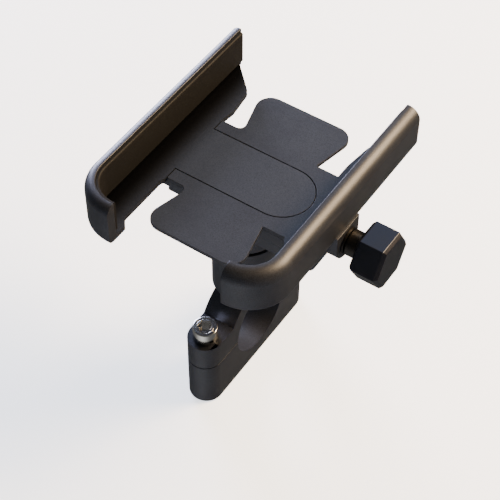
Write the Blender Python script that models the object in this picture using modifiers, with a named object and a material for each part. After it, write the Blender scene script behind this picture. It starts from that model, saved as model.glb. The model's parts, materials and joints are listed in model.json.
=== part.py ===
"""Handlebar phone mount: a two-piece bar clamp, a swivelling post and a screw-driven jaw.

Frame: the origin is the centre of the handlebar bore, X runs along the bar and across the
phone, +Y is the phone's top edge and +Z is up. Lengths are in metres.
"""

import math

import bmesh
import bpy
from mathutils import Matrix, Vector

MM = 0.001

# Clearances
GAP = 0.3 * MM                  # between pieces that rest on each other
RUN = 0.4 * MM                  # around a turning or sliding piece
SEAM = 0.02 * MM                # step that keeps joined shapes from sharing a plane

# Bar clamp
BAR_DIAMETER = 31.8 * MM
CLAMP_WIDTH = 14.2 * MM         # along the bar
CLAMP_WALL = 6.5 * MM           # thickness of the arch over the bar
CLAMP_BOLT_HALF_SPACING = 28.0 * MM
CLAMP_EAR_HEIGHT = 12.0 * MM    # seat of the bolt heads above the bar's axis
CLAMP_DEPTH = 23.0 * MM         # bottom face below the bar's axis
CLAMP_CROWN = 19.7 * MM         # flat seat for the post, above the bar's axis
CLAMP_SPLIT_GAP = 0.5 * MM
BOLT_HOLE_SPARE = 1.0 * MM      # bolt hole's depth past the bolt's tip

# M6 socket-head clamp bolts
BOLT_DIAMETER = 6.0 * MM
BOLT_HEAD_DIAMETER = 10.0 * MM
BOLT_HEAD_HEIGHT = 6.0 * MM
BOLT_SOCKET = 5.0 * MM
BOLT_SOCKET_DEPTH = 3.0 * MM
BOLT_LENGTH = 30.0 * MM

# Post and swivel
POST_DIAMETER = 26.6 * MM
SWIVEL_HEIGHT = 48.0 * MM       # top of the fixed post above the bar's axis
SWIVEL_WASHER = 1.0 * MM
SWIVEL_BOLT_DIAMETER = 8.0 * MM
SWIVEL_HEAD_DIAMETER = 13.0 * MM
SWIVEL_HEAD_HEIGHT = 3.6 * MM
SWIVEL_BOLT_REACH = 13.0 * MM   # thread length inside the fixed post
WAVE_WASHER = 0.8 * MM
POST_SCREW_DIAMETER = 6.0 * MM
POST_SCREW_HEAD = 11.5 * MM
POST_SCREW_HEAD_HEIGHT = 3.0 * MM
POST_SCREW_REACH = 11.0 * MM    # thread length inside the fixed post

# Cradle plate, which carries the fixed jaw
PLATE_TOP = 79.0 * MM
PLATE_SHIFT = 2.1 * MM          # plate's middle from the post's axis, toward the knob
PLATE_THICKNESS = 1.6 * MM
WING_HALF_WIDTH = 21.3 * MM
WING_HALF_LENGTH = 39.2 * MM
WING_RADIUS = 6.0 * MM
NOTCH_LEFT = 15.6 * MM
NOTCH_RIGHT = 16.8 * MM
NOTCH_RADIUS = 2.4 * MM
NECK_HALF_WIDTH = 17.7 * MM
NECK_END = 24.9 * MM
TONGUE_HALF_WIDTH = 12.1 * MM
TONGUE_END = 25.4 * MM

# Jaws
JAW_FAR_END = 49.3 * MM
JAW_NEAR_END = 53.4 * MM
JAW_TOP = 15.8 * MM             # above the plate
JAW_FLOOR_THICKNESS = 2.2 * MM
JAW_FOOT_ROUND = 1.8 * MM       # outer lower edge of a jaw's wall
JAW_CURL_RADIUS = 16.8 * MM
JAW_CURL_STOP = 23.4 * MM       # where the hook's end lies, from the plate's middle
MOVING_WALL_FACE = 38.0 * MM    # inner face of the moving jaw's wall
MOVING_WALL = 4.0 * MM
FIXED_WALL_FACE = 35.0 * MM
FIXED_WALL = 5.8 * MM
JAW_FLOOR_FAR_EDGE = 30.0 * MM  # where a floor's straight inner edge stops
PAD_THICKNESS = 1.2 * MM
PAD_HEIGHT = 12.2 * MM
PAD_LIFT = 1.2 * MM             # above the jaw's floor

# Channel under the plate
CHANNEL_SIDE_DEPTH = 6.9 * MM
CHANNEL_CORE_HALF_WIDTH = 11.6 * MM
CHANNEL_FLOOR_DEPTH = 13.2 * MM
CHANNEL_CORE_DEPTH = 20.5 * MM
SLIDE_POCKET_HALF_WIDTH = 9.4 * MM
LUG_X = 9.0 * MM                # screw lugs, from the plate's middle
LUG_Y = 21.0 * MM
LUG_RADIUS = 4.2 * MM
PLATE_BOSS_RADIUS = 3.4 * MM
PLATE_BOSS_HEIGHT = 2.4 * MM

# Lead screw, drive block and knob
SCREW_DEPTH = 8.2 * MM          # screw axis below the plate's top
SCREW_DIAMETER = 6.0 * MM
SCREW_COLLAR_DIAMETER = 10.2 * MM
BLOCK_LENGTH = 8.0 * MM
BLOCK_HALF_WIDTH = 9.0 * MM
BLOCK_WALL = 1.4 * MM           # brass under the lead screw's thread
BLOCK_SCREW_Y = 6.3 * MM
BOSS_HALF_WIDTH = 7.4 * MM
BOSS_PROUD = 0.6 * MM           # outside the fixed jaw's outer face
KNOB_FLATS = 19.8 * MM
KNOB_LENGTH = 11.6 * MM
KNOB_CHAMFER = 1.8 * MM
KNOB_STANDOFF = 5.0 * MM        # bare shaft between the jaw's boss and the knob
CLIP_THICKNESS = 0.8 * MM
CLIP_DIAMETER = 9.6 * MM
THRUST_WASHER = 0.8 * MM

# Guide rods and small screws
ROD_DIAMETER = 3.0 * MM
ROD_OFFSET = 14.4 * MM
ROD_LENGTH = 44.0 * MM
ROD_BOSS_RADIUS = 2.4 * MM
ROD_COVER = 1.0 * MM            # between a rod and the underside of the jaw's floor
SMALL_SCREW = 3.0 * MM
SMALL_SCREW_HEAD = 5.4 * MM
SMALL_SCREW_HEAD_HEIGHT = 1.6 * MM
BLIND_COVER = 0.6 * MM          # metal left over a blind screw hole

# Worked-out sizes
BAR_RADIUS = BAR_DIAMETER / 2
ARCH_RADIUS = BAR_RADIUS + CLAMP_WALL
EAR_RADIUS = CLAMP_WIDTH / 2
POST_RADIUS = POST_DIAMETER / 2
HUB_BOTTOM = SWIVEL_HEIGHT + SWIVEL_WASHER + 2 * GAP
PLATE_BOTTOM = PLATE_TOP - PLATE_THICKNESS
SCREW_Z = PLATE_TOP - SCREW_DEPTH
MOVING_OUTER = MOVING_WALL_FACE + MOVING_WALL
FIXED_OUTER = FIXED_WALL_FACE + FIXED_WALL
BOSS_FACE = PLATE_SHIFT + FIXED_OUTER + BOSS_PROUD
ROD_Z = PLATE_TOP - JAW_FLOOR_THICKNESS - ROD_COVER - ROD_DIAMETER / 2


# ---------------------------------------------------------------- scene and materials

def clear_scene():
    for obj in list(bpy.data.objects):
        bpy.data.objects.remove(obj, do_unlink=True)


def new_collection(name):
    collection = bpy.data.collections.new(name)
    bpy.context.scene.collection.children.link(collection)
    return collection


def make_material(name, color, roughness, metallic):
    material = bpy.data.materials.new(name)
    material.use_nodes = True
    shader = material.node_tree.nodes["Principled BSDF"]
    shader.inputs["Base Color"].default_value = (*color, 1.0)
    shader.inputs["Roughness"].default_value = roughness
    shader.inputs["Metallic"].default_value = metallic
    material.diffuse_color = (*color, 1.0)
    return material


clear_scene()
PARTS = new_collection("phone_handlebar_mount")
CUTTERS = new_collection("cutters")

BLACK_ALUMINIUM = make_material("black_anodised_aluminium", (0.030, 0.031, 0.036), 0.42, 0.6)
STEEL = make_material("bright_steel", (0.62, 0.62, 0.64), 0.22, 1.0)
DARK_STEEL = make_material("dark_steel", (0.08, 0.08, 0.085), 0.35, 1.0)
BRASS = make_material("brass", (0.60, 0.44, 0.19), 0.3, 1.0)
RUBBER = make_material("black_rubber", (0.018, 0.018, 0.018), 0.85, 0.0)
NYLON = make_material("white_nylon", (0.75, 0.74, 0.70), 0.5, 0.0)


# ---------------------------------------------------------------- modelling helpers

def link(obj, collection):
    for owner in list(obj.users_collection):
        owner.objects.unlink(obj)
    collection.objects.link(obj)


def finish(obj, name, material):
    """Name a finished part, give it its material and shade its round faces smooth."""
    obj.name = name
    obj.data.name = name
    obj.data.materials.clear()
    obj.data.materials.append(material)
    obj.data.shade_smooth()
    obj.data.set_sharp_from_angle(angle=math.radians(35))
    link(obj, PARTS)
    return obj


def mesh_object(name, bm):
    mesh = bpy.data.meshes.new(name)
    bmesh.ops.recalc_face_normals(bm, faces=bm.faces)
    bm.to_mesh(mesh)
    bm.free()
    obj = bpy.data.objects.new(name, mesh)
    CUTTERS.objects.link(obj)
    return obj


def box(x0, x1, y0, y1, z0, z1):
    bm = bmesh.new()
    size = Matrix.Diagonal((x1 - x0, y1 - y0, z1 - z0, 1.0))
    centre = Matrix.Translation(((x0 + x1) / 2, (y0 + y1) / 2, (z0 + z1) / 2))
    bmesh.ops.create_cube(bm, size=1.0, matrix=centre @ size)
    return mesh_object("box", bm)


def cone(start, end, radius_start, radius_end, sides=40, turn=0.0):
    """A cone or cylinder between two points."""
    start, end = Vector(start), Vector(end)
    axis = end - start
    place = Matrix.Translation((start + end) / 2)
    place = place @ axis.to_track_quat("Z", "Y").to_matrix().to_4x4()
    place = place @ Matrix.Rotation(turn, 4, "Z")
    bm = bmesh.new()
    bmesh.ops.create_cone(bm, cap_ends=True, segments=sides, radius1=radius_start,
                          radius2=radius_end, depth=axis.length, matrix=place)
    return mesh_object("cone", bm)


def cylinder(start, end, radius, sides=40, turn=0.0):
    return cone(start, end, radius, radius, sides, turn)


def arc(cx, cy, radius, start, end, steps):
    """Points on an arc, with its angles in degrees."""
    points = []
    for i in range(steps + 1):
        angle = math.radians(start + (end - start) * i / steps)
        points.append((cx + radius * math.cos(angle), cy + radius * math.sin(angle)))
    return points


def rounded(corners, steps=6):
    """Round each (x, y, radius) corner of a closed outline with an arc."""
    points = []
    for i, (x, y, radius) in enumerate(corners):
        corner = Vector((x, y))
        if radius <= 0:
            points.append((x, y))
            continue
        before = (Vector(corners[i - 1][:2]) - corner).normalized()
        after = (Vector(corners[(i + 1) % len(corners)][:2]) - corner).normalized()
        half = before.angle(after) / 2
        centre = corner + (before + after).normalized() * radius / math.sin(half)
        first = corner + before * radius / math.tan(half) - centre
        last = corner + after * radius / math.tan(half) - centre
        sweep = first.angle_signed(last)
        for k in range(steps + 1):
            points.append(tuple(centre + Matrix.Rotation(-sweep * k / steps, 2) @ first))
    return points


def prism(points, low, high, along="Z"):
    """A flat outline with thickness: (x, y) points along Z, or (y, z) points along X."""
    curve = bpy.data.curves.new("outline", "CURVE")
    curve.dimensions = "2D"
    curve.fill_mode = "BOTH"
    curve.extrude = (high - low) / 2
    spline = curve.splines.new("POLY")
    spline.points.add(len(points) - 1)
    for point, (x, y) in zip(spline.points, points):
        point.co = (x, y, 0.0, 1.0)
    spline.use_cyclic_u = True
    source = bpy.data.objects.new("outline", curve)
    CUTTERS.objects.link(source)
    graph = bpy.context.evaluated_depsgraph_get()
    mesh = bpy.data.meshes.new_from_object(source.evaluated_get(graph))
    bpy.data.objects.remove(source, do_unlink=True)
    bpy.data.curves.remove(curve)
    bm = bmesh.new()
    bm.from_mesh(mesh)
    bpy.data.meshes.remove(mesh)
    bmesh.ops.remove_doubles(bm, verts=bm.verts, dist=0.000001)
    bmesh.ops.dissolve_limit(bm, angle_limit=math.radians(0.5), verts=bm.verts, edges=bm.edges)
    middle = (low + high) / 2
    if along == "X":
        turn = Matrix(((0, 0, 1, middle), (1, 0, 0, 0), (0, 1, 0, 0), (0, 0, 0, 1)))
    else:
        turn = Matrix.Translation((0, 0, middle))
    bmesh.ops.transform(bm, matrix=turn, verts=bm.verts)
    return mesh_object("prism", bm)


def turned(profile, axis_x=0.0, axis_y=0.0, steps=40):
    """A turned solid from (radius, z) points, running down its outer side."""
    bm = bmesh.new()
    verts = [bm.verts.new((radius, 0.0, z)) for radius, z in profile]
    for first, second in zip(verts, verts[1:] + verts[:1]):
        bm.edges.new((first, second))
    mesh = bpy.data.meshes.new("turned")
    bm.to_mesh(mesh)
    bm.free()
    obj = bpy.data.objects.new("turned", mesh)
    CUTTERS.objects.link(obj)
    obj.location = (axis_x, axis_y, 0.0)
    screw = obj.modifiers.new("turn", "SCREW")
    screw.axis = "Z"
    screw.steps = steps
    screw.render_steps = steps
    screw.use_merge_vertices = True
    screw.merge_threshold = 0.000001
    return obj


def combine(target, tool, operation):
    modifier = target.modifiers.new(operation.lower(), "BOOLEAN")
    modifier.operation = operation
    modifier.solver = "EXACT"
    modifier.object = tool
    tool.hide_render = True
    tool.display_type = "WIRE"


def cut(target, *tools):
    for tool in tools:
        combine(target, tool, "DIFFERENCE")


def join(target, *tools):
    for tool in tools:
        combine(target, tool, "UNION")


def bevel_edges(obj, width, chosen, segments=4):
    """Round the edges for which chosen(a, b) is true, before any Boolean is added."""
    bm = bmesh.new()
    bm.from_mesh(obj.data)
    edges = [edge for edge in bm.edges if chosen(edge.verts[0].co, edge.verts[1].co)]
    bmesh.ops.bevel(bm, geom=edges, offset=width, offset_type="OFFSET", segments=segments,
                    profile=0.5, affect="EDGES", clamp_overlap=True)
    bm.to_mesh(obj.data)
    bm.free()


# ---------------------------------------------------------------- bar clamp

def obround(half_spacing, radius, steps=10):
    """Plan outline of the clamp: straight flanks with round ends at its bolts."""
    return (arc(0.0, half_spacing, radius, 0, 180, steps)
            + arc(0.0, -half_spacing, radius, 180, 360, steps))


def clamp_upper():
    split = CLAMP_SPLIT_GAP / 2
    flank = CLAMP_BOLT_HALF_SPACING + 2 * EAR_RADIUS
    start = math.degrees(math.asin(CLAMP_EAR_HEIGHT / ARCH_RADIUS))
    side = arc(0.0, 0.0, ARCH_RADIUS, start, math.degrees(math.asin(CLAMP_CROWN / ARCH_RADIUS)), 8)
    section = [(flank, split), (flank, CLAMP_EAR_HEIGHT), *side]
    section += [(-y, z) for y, z in reversed(section)]
    body = prism(section, -CLAMP_WIDTH / 2, CLAMP_WIDTH / 2, "X")
    plan = prism(obround(CLAMP_BOLT_HALF_SPACING, EAR_RADIUS), -0.001, ARCH_RADIUS)
    combine(body, plan, "INTERSECT")
    reach = CLAMP_WIDTH
    cut(body, cylinder((-reach, 0, 0), (reach, 0, 0), BAR_RADIUS, 72))
    for side_sign in (-1, 1):
        y = side_sign * CLAMP_BOLT_HALF_SPACING
        hole = BOLT_DIAMETER / 2 + RUN
        spot = BOLT_HEAD_DIAMETER / 2 + 2.2 * MM
        cut(body, cylinder((0, y, -0.002), (0, y, 0.03), hole, 32),
            cylinder((0, y, CLAMP_EAR_HEIGHT), (0, y, 0.03), spot, 40))
    head = POST_SCREW_HEAD / 2 + GAP
    shank = POST_SCREW_DIAMETER / 2 + GAP
    sink_top = BAR_RADIUS + POST_SCREW_HEAD_HEIGHT
    cut(body, cylinder((0, 0, BAR_RADIUS - 0.004), (0, 0, 0.03), shank, 32),
        cone((0, 0, BAR_RADIUS - 0.0005), (0, 0, sink_top), head + 0.0005, shank, 32))
    finish(body, "clamp_upper", BLACK_ALUMINIUM)


def clamp_lower():
    split = -CLAMP_SPLIT_GAP / 2
    body = prism(obround(CLAMP_BOLT_HALF_SPACING, EAR_RADIUS, 12), -CLAMP_DEPTH, split)
    bevel_edges(body, 0.6 * MM, lambda a, b: max(a.z, b.z) < -CLAMP_DEPTH + 0.0001, 2)
    reach = CLAMP_WIDTH
    cut(body, cylinder((-reach, 0, 0), (reach, 0, 0), BAR_RADIUS, 72))
    bottom = CLAMP_EAR_HEIGHT - BOLT_LENGTH - BOLT_HOLE_SPARE
    for side_sign in (-1, 1):
        y = side_sign * CLAMP_BOLT_HALF_SPACING
        cut(body, cylinder((0, y, bottom), (0, y, 0.002), BOLT_DIAMETER / 2 + GAP, 32))
    finish(body, "clamp_lower", BLACK_ALUMINIUM)


def socket_bolt(name, x, y, seat, diameter, length, head, head_height, socket, socket_depth):
    """A socket-head bolt that points down, with the underside of its head at seat."""
    top = seat + head_height
    rim = 0.5 * MM
    profile = [(0.0, top), (head / 2 - rim, top), (head / 2, top - rim), (head / 2, seat),
               (diameter / 2, seat), (diameter / 2, seat - length + rim),
               (diameter / 2 - rim, seat - length), (0.0, seat - length)]
    bolt = turned(profile, x, y)
    key = cylinder((0, 0, top - socket_depth), (0, 0, top + 0.002),
                   socket / math.sqrt(3), 6)
    key.location = (x, y, 0.0)
    cut(bolt, key)
    finish(bolt, name, STEEL)


def clamp_bolts():
    seat = CLAMP_EAR_HEIGHT + GAP
    for name, side in (("clamp_bolt_near", -1), ("clamp_bolt_far", 1)):
        socket_bolt(name, 0.0, side * CLAMP_BOLT_HALF_SPACING, seat, BOLT_DIAMETER, BOLT_LENGTH,
                    BOLT_HEAD_DIAMETER, BOLT_HEAD_HEIGHT, BOLT_SOCKET, BOLT_SOCKET_DEPTH)


# ---------------------------------------------------------------- post and swivel

def post():
    bottom = CLAMP_CROWN + GAP
    edge = 0.5 * MM
    lower_hole = POST_SCREW_DIAMETER / 2 + GAP
    upper_hole = SWIVEL_BOLT_DIAMETER / 2 + GAP
    step = SWIVEL_HEIGHT - SWIVEL_BOLT_REACH - 1.5 * MM
    profile = [(upper_hole, SWIVEL_HEIGHT), (POST_RADIUS - edge, SWIVEL_HEIGHT),
               (POST_RADIUS, SWIVEL_HEIGHT - edge), (POST_RADIUS, bottom + edge),
               (POST_RADIUS - edge, bottom), (lower_hole, bottom), (lower_hole, step),
               (upper_hole, step)]
    finish(turned(profile, steps=56), "post", BLACK_ALUMINIUM)


def post_screw():
    """Countersunk screw that goes up through the arch, its head under the bore's surface."""
    seat = BAR_RADIUS + GAP
    shank = POST_SCREW_DIAMETER / 2
    head_top = seat + POST_SCREW_HEAD_HEIGHT
    tip = CLAMP_CROWN + POST_SCREW_REACH
    profile = [(0.0, tip), (shank - 0.0005, tip), (shank, tip - 0.0005), (shank, head_top),
               (POST_SCREW_HEAD / 2 - 0.0004, seat + 0.0004), (POST_SCREW_HEAD / 2 - 0.0004, seat),
               (0.0, seat)]
    screw = turned(profile, steps=32)
    cut(screw, cylinder((0, 0, seat - 0.002), (0, 0, seat + 2.0 * MM), 4.0 * MM / math.sqrt(3), 6))
    finish(screw, "post_screw", STEEL)


def washer(name, x, y, low, thickness, inner, outer, material):
    profile = [(inner, low + thickness), (outer, low + thickness), (outer, low), (inner, low)]
    finish(turned(profile, x, y, 40), name, material)


def swivel_seat():
    """Height of the counterbore's floor for the swivel bolt's head."""
    return PLATE_TOP - CHANNEL_FLOOR_DEPTH - SWIVEL_HEAD_HEIGHT - WAVE_WASHER - 3 * GAP


def swivel_pieces():
    hole = SWIVEL_BOLT_DIAMETER / 2
    washer("swivel_washer", 0.0, 0.0, SWIVEL_HEIGHT + GAP, SWIVEL_WASHER, hole + GAP,
           POST_RADIUS - 1.0 * MM, NYLON)
    floor = swivel_seat()
    washer("wave_washer", 0.0, 0.0, floor + GAP, WAVE_WASHER, hole + GAP,
           SWIVEL_HEAD_DIAMETER / 2, DARK_STEEL)
    seat = floor + WAVE_WASHER + 2 * GAP
    length = seat - SWIVEL_HEIGHT + SWIVEL_BOLT_REACH
    socket_bolt("swivel_bolt", 0.0, 0.0, seat, SWIVEL_BOLT_DIAMETER, length,
                SWIVEL_HEAD_DIAMETER, SWIVEL_HEAD_HEIGHT, 5.0 * MM, 2.2 * MM)


# ---------------------------------------------------------------- cradle frame

def plate_outline():
    """Bow-tie plate: four wings, a neck that the tongue's slot opens, and the jaw's root."""
    s = PLATE_SHIFT
    wing, length, r = WING_HALF_WIDTH, WING_HALF_LENGTH, WING_RADIUS
    neck, notch = NECK_HALF_WIDTH, NOTCH_RADIUS
    root = FIXED_WALL_FACE - 8.0 * MM
    far = [(root, neck, 0), (NOTCH_RIGHT, neck, 0.4 * MM), (wing, length, r), (-wing, length, r),
           (-NOTCH_LEFT, neck, notch), (-NECK_END, neck, 0)]
    near = [(x, -y, radius) for x, y, radius in reversed(far)]
    slot = TONGUE_HALF_WIDTH + GAP
    end = TONGUE_END - TONGUE_HALF_WIDTH
    bay = [(-NECK_END, slot)] + arc(end, 0.0, slot, 90, -90, 20) + [(-NECK_END, -slot)]
    corners = far + [(x, y, 0) for x, y in bay] + near
    return rounded([(x + s, y, radius) for x, y, radius in corners])


def jaw_plan(face, outer, floor_edge, floor_tip):
    """Plan outlines of a jaw on the +X side: its hooked wall, and its floor."""
    far, near = JAW_FAR_END, -JAW_NEAR_END
    wall = outer - face
    radius = JAW_CURL_RADIUS
    centre_x, centre_y = outer - radius, near + radius
    hook = (arc(centre_x, centre_y, radius, 0, -90, 12) + [(JAW_CURL_STOP, near)]
            + [(JAW_CURL_STOP, near + wall)]
            + arc(centre_x, centre_y, radius - wall, -90, 0, 12))
    wall_plan = [(outer, far)] + hook + [(face, far)]
    step = 3.2 * MM
    step_y = NECK_HALF_WIDTH + 0.8 * MM
    floor_plan = rounded([
        (face + wall / 2, far - 0.6 * MM, 0), (face - 0.2 * MM, far - 1.6 * MM, 0),
        (floor_tip + 1.5 * MM, JAW_FLOOR_FAR_EDGE + 6.0 * MM, 4.0 * MM),
        (floor_tip, JAW_FLOOR_FAR_EDGE - 6.0 * MM, 4.0 * MM), (floor_edge, step_y, 0),
        (floor_edge, -step_y, 0), (floor_tip + 1.6 * MM, -step_y - 2.0 * MM, 0),
        (floor_tip + 1.6 * MM, near + 12.0 * MM, 0),
        (JAW_CURL_STOP + SEAM, near + 12.0 * MM - step, 0.6 * MM),
        (JAW_CURL_STOP + SEAM, near + wall / 2, 0),
        (centre_x, near + wall / 2, 0),
        (face + wall / 2, centre_y, 0)])
    return wall_plan, floor_plan


def place(points, side):
    """Move plan points from the plate's middle to the frame, mirrored for the -X side."""
    placed = [(PLATE_SHIFT + side * x, y) for x, y in points]
    return placed if side > 0 else placed[::-1]


def jaw_solid(side, face, outer, floor_edge, floor_tip, outer_round, inner_round):
    wall_plan, floor_plan = jaw_plan(face, outer, floor_edge, floor_tip)
    low = PLATE_TOP - JAW_FLOOR_THICKNESS
    high = PLATE_TOP + JAW_TOP
    body = prism(place(wall_plan, side), low, high)
    middle = (face + outer) / 2
    centre = Vector((outer - JAW_CURL_RADIUS, JAW_CURL_RADIUS - JAW_NEAR_END))
    middle_radius = JAW_CURL_RADIUS - (outer - face) / 2

    def on_rim(point, outside, level):
        x, y = side * (point.x - PLATE_SHIFT), point.y
        if abs(point.z - level) > 0.0001:
            return False
        if y > centre.y:
            return (x > middle) == outside
        if x < centre.x:
            return (y < -JAW_NEAR_END + (outer - face) / 2) == outside
        return ((Vector((x, y)) - centre).length > middle_radius) == outside

    def rim(outside, level):
        return lambda a, b: on_rim(a, outside, level) and on_rim(b, outside, level)

    bevel_edges(body, outer_round, rim(True, high), 5)
    bevel_edges(body, inner_round, rim(False, high), 3)
    bevel_edges(body, JAW_FOOT_ROUND, rim(True, low), 3)
    floor = prism(place(floor_plan, side), low + SEAM, PLATE_TOP - SEAM)
    join(body, floor)
    return body


def jaw_pad(name, side, face):
    """Soft strip glued along the straight stretch of a jaw's wall."""
    low = PLATE_TOP + PAD_LIFT
    near = JAW_CURL_RADIUS - JAW_NEAR_END + 2.0 * MM
    x0 = PLATE_SHIFT + side * (face - PAD_THICKNESS - GAP)
    x1 = PLATE_SHIFT + side * (face - GAP)
    pad = box(min(x0, x1), max(x0, x1), near, JAW_FAR_END - 1.0 * MM, low, low + PAD_HEIGHT)
    finish(pad, name, RUBBER)


def base_frame():
    """Plate and fixed jaw in one casting, with the boss that carries the lead screw."""
    top = PLATE_TOP
    low = top - JAW_FLOOR_THICKNESS
    root = FIXED_WALL_FACE - 8.0 * MM
    body = jaw_solid(1, FIXED_WALL_FACE, FIXED_OUTER, root - 1.0 * MM, root - 1.0 * MM,
                     4.6 * MM, 0.8 * MM)
    outer = BOSS_FACE
    inner = outer - FIXED_WALL
    boss = [(BOSS_HALF_WIDTH, low + 0.001), (-BOSS_HALF_WIDTH, low + 0.001)]
    boss += arc(0.0, SCREW_Z, BOSS_HALF_WIDTH, 180, 360, 16)
    join(body, prism(boss, inner, outer, "X"))
    join(body, prism(plate_outline(), PLATE_BOTTOM, top))
    bore = SCREW_DIAMETER / 2 + RUN
    cut(body, cylinder((inner - 0.004, 0, SCREW_Z), (outer + 0.004, 0, SCREW_Z), bore, 32))
    boss_low = PLATE_BOTTOM - PLATE_BOSS_HEIGHT
    for x, y in body_screw_places():
        join(body, cylinder((x, y, boss_low), (x, y, PLATE_BOTTOM + 0.0005), PLATE_BOSS_RADIUS, 28))
    for x, y in body_screw_places():
        cut(body, cylinder((x, y, boss_low - 0.001), (x, y, top - BLIND_COVER),
                           SMALL_SCREW / 2 + GAP, 20))
    finish(body, "base_frame", BLACK_ALUMINIUM)


# ---------------------------------------------------------------- channel body

def body_screw_places():
    xs = (PLATE_SHIFT - LUG_X, PLATE_SHIFT + LUG_X)
    return [(x, side * LUG_Y) for x in xs for side in (-1, 1)]


def channel_ends():
    left = PLATE_SHIFT - NECK_END + 0.4 * MM
    right = BOSS_FACE - FIXED_WALL - GAP
    return left, right


def channel_body():
    left, right = channel_ends()
    top = PLATE_BOTTOM - GAP
    side_low = PLATE_TOP - CHANNEL_SIDE_DEPTH
    core_low = PLATE_TOP - CHANNEL_CORE_DEPTH
    half = NECK_HALF_WIDTH - 0.2 * MM
    core = CHANNEL_CORE_HALF_WIDTH
    floor_low = PLATE_TOP - JAW_FLOOR_THICKNESS - GAP
    flange_right = PLATE_SHIFT + FIXED_WALL_FACE - 9.6 * MM
    body = box(left, flange_right, -half, half, side_low, top)
    join(body, box(left, right, -core, core, core_low, floor_low))
    hub = cylinder((0, 0, HUB_BOTTOM), (0, 0, side_low + 0.001), POST_RADIUS, 56)
    join(body, hub)
    lug_low = side_low + SEAM
    lug_top = PLATE_BOTTOM - PLATE_BOSS_HEIGHT - GAP
    for x, y in body_screw_places():
        inner = math.copysign(half - 0.6 * MM, y)
        web = box(x - LUG_RADIUS + SEAM, x + LUG_RADIUS - SEAM, min(inner, y), max(inner, y),
                  lug_low + SEAM, lug_top - SEAM)
        join(body, web, cylinder((x, y, lug_low), (x, y, lug_top), LUG_RADIUS, 28))
    for x, y in body_screw_places():
        cut(body, cylinder((x, y, lug_low - 0.002), (x, y, lug_top + 0.0005),
                           SMALL_SCREW / 2 + GAP, 20))
    pocket = SLIDE_POCKET_HALF_WIDTH
    pocket_low = PLATE_TOP - CHANNEL_FLOOR_DEPTH
    pocket_right = right - 4.0 * MM
    cut(body, box(left - 0.001, pocket_right, -pocket, pocket, pocket_low, PLATE_TOP))
    slide = TONGUE_HALF_WIDTH + 0.6 * MM
    cut(body, box(left - 0.001, flange_right + 0.001, -slide, slide,
                  PLATE_TOP - JAW_FLOOR_THICKNESS - 2 * GAP, PLATE_TOP))
    bore = SCREW_DIAMETER / 2 + RUN
    cut(body, cylinder((pocket_right - 0.002, 0, SCREW_Z), (right + 0.002, 0, SCREW_Z), bore, 32))
    seat = swivel_seat()
    cut(body, cylinder((0, 0, HUB_BOTTOM - 0.002), (0, 0, pocket_low + 0.001),
                       SWIVEL_BOLT_DIAMETER / 2 + GAP, 32),
        cylinder((0, 0, seat), (0, 0, pocket_low + 0.001), SWIVEL_HEAD_DIAMETER / 2 + RUN, 40))
    for side in (-1, 1):
        y = side * ROD_OFFSET
        end = PLATE_SHIFT - MOVING_WALL_FACE + 7.0 * MM + ROD_LENGTH + 1.5 * MM
        cut(body, cylinder((left - 0.002, y, ROD_Z), (end, y, ROD_Z),
                           ROD_DIAMETER / 2 + RUN, 20))
    finish(body, "channel_body", BLACK_ALUMINIUM)


# ---------------------------------------------------------------- moving jaw and drive

def moving_jaw():
    """Hooked wall, floor and tongue in one casting, with two bosses for the guide rods."""
    top = PLATE_TOP
    edge = NECK_END + GAP
    body = jaw_solid(-1, MOVING_WALL_FACE, MOVING_OUTER, edge, edge - 0.8 * MM, 2.6 * MM, 1.2 * MM)
    end = PLATE_SHIFT + TONGUE_END - TONGUE_HALF_WIDTH
    start = PLATE_SHIFT - edge - 2.0 * MM
    half = TONGUE_HALF_WIDTH
    plan = arc(end, 0.0, half, -90, 90, 20) + [(start, half), (start, -half)]
    join(body, prism(plan, top - JAW_FLOOR_THICKNESS + 2 * SEAM, top))
    low = top - JAW_FLOOR_THICKNESS
    x0, x1 = rod_socket()
    for side in (-1, 1):
        y = side * ROD_OFFSET
        join(body, box(x0, x1, y - ROD_BOSS_RADIUS, y + ROD_BOSS_RADIUS, ROD_Z, low + 0.001),
             cylinder((x0, y, ROD_Z), (x1, y, ROD_Z), ROD_BOSS_RADIUS, 24))
    for side in (-1, 1):
        y = side * ROD_OFFSET
        cut(body, cylinder((x0 + 1.5 * MM, y, ROD_Z), (x1 + 0.002, y, ROD_Z),
                           ROD_DIAMETER / 2 + GAP, 20))
    for x, y in block_screw_places():
        cut(body, cylinder((x, y, low - 0.002), (x, y, top - BLIND_COVER),
                           SMALL_SCREW / 2 + GAP, 20))
    finish(body, "moving_jaw", BLACK_ALUMINIUM)


def rod_socket():
    """Stretch of X that the guide rods' bosses take on the moving jaw."""
    x0 = PLATE_SHIFT - MOVING_WALL_FACE + 5.5 * MM
    return x0, PLATE_SHIFT - NECK_END - GAP


def guide_rods():
    x0 = rod_socket()[0] + 1.5 * MM + GAP
    for name, side in (("guide_rod_near", -1), ("guide_rod_far", 1)):
        y = side * ROD_OFFSET
        rod = cylinder((x0, y, ROD_Z), (x0 + ROD_LENGTH, y, ROD_Z), ROD_DIAMETER / 2, 20)
        finish(rod, name, STEEL)


def block_span():
    """Stretch of X that the drive block takes with the jaw shut."""
    x1 = PLATE_SHIFT + TONGUE_END - 6.0 * MM
    return x1 - BLOCK_LENGTH, x1


def block_screw_places():
    x = sum(block_span()) / 2
    return [(x, -BLOCK_SCREW_Y), (x, BLOCK_SCREW_Y)]


def block_low():
    return SCREW_Z - SCREW_DIAMETER / 2 - BLOCK_WALL


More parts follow.
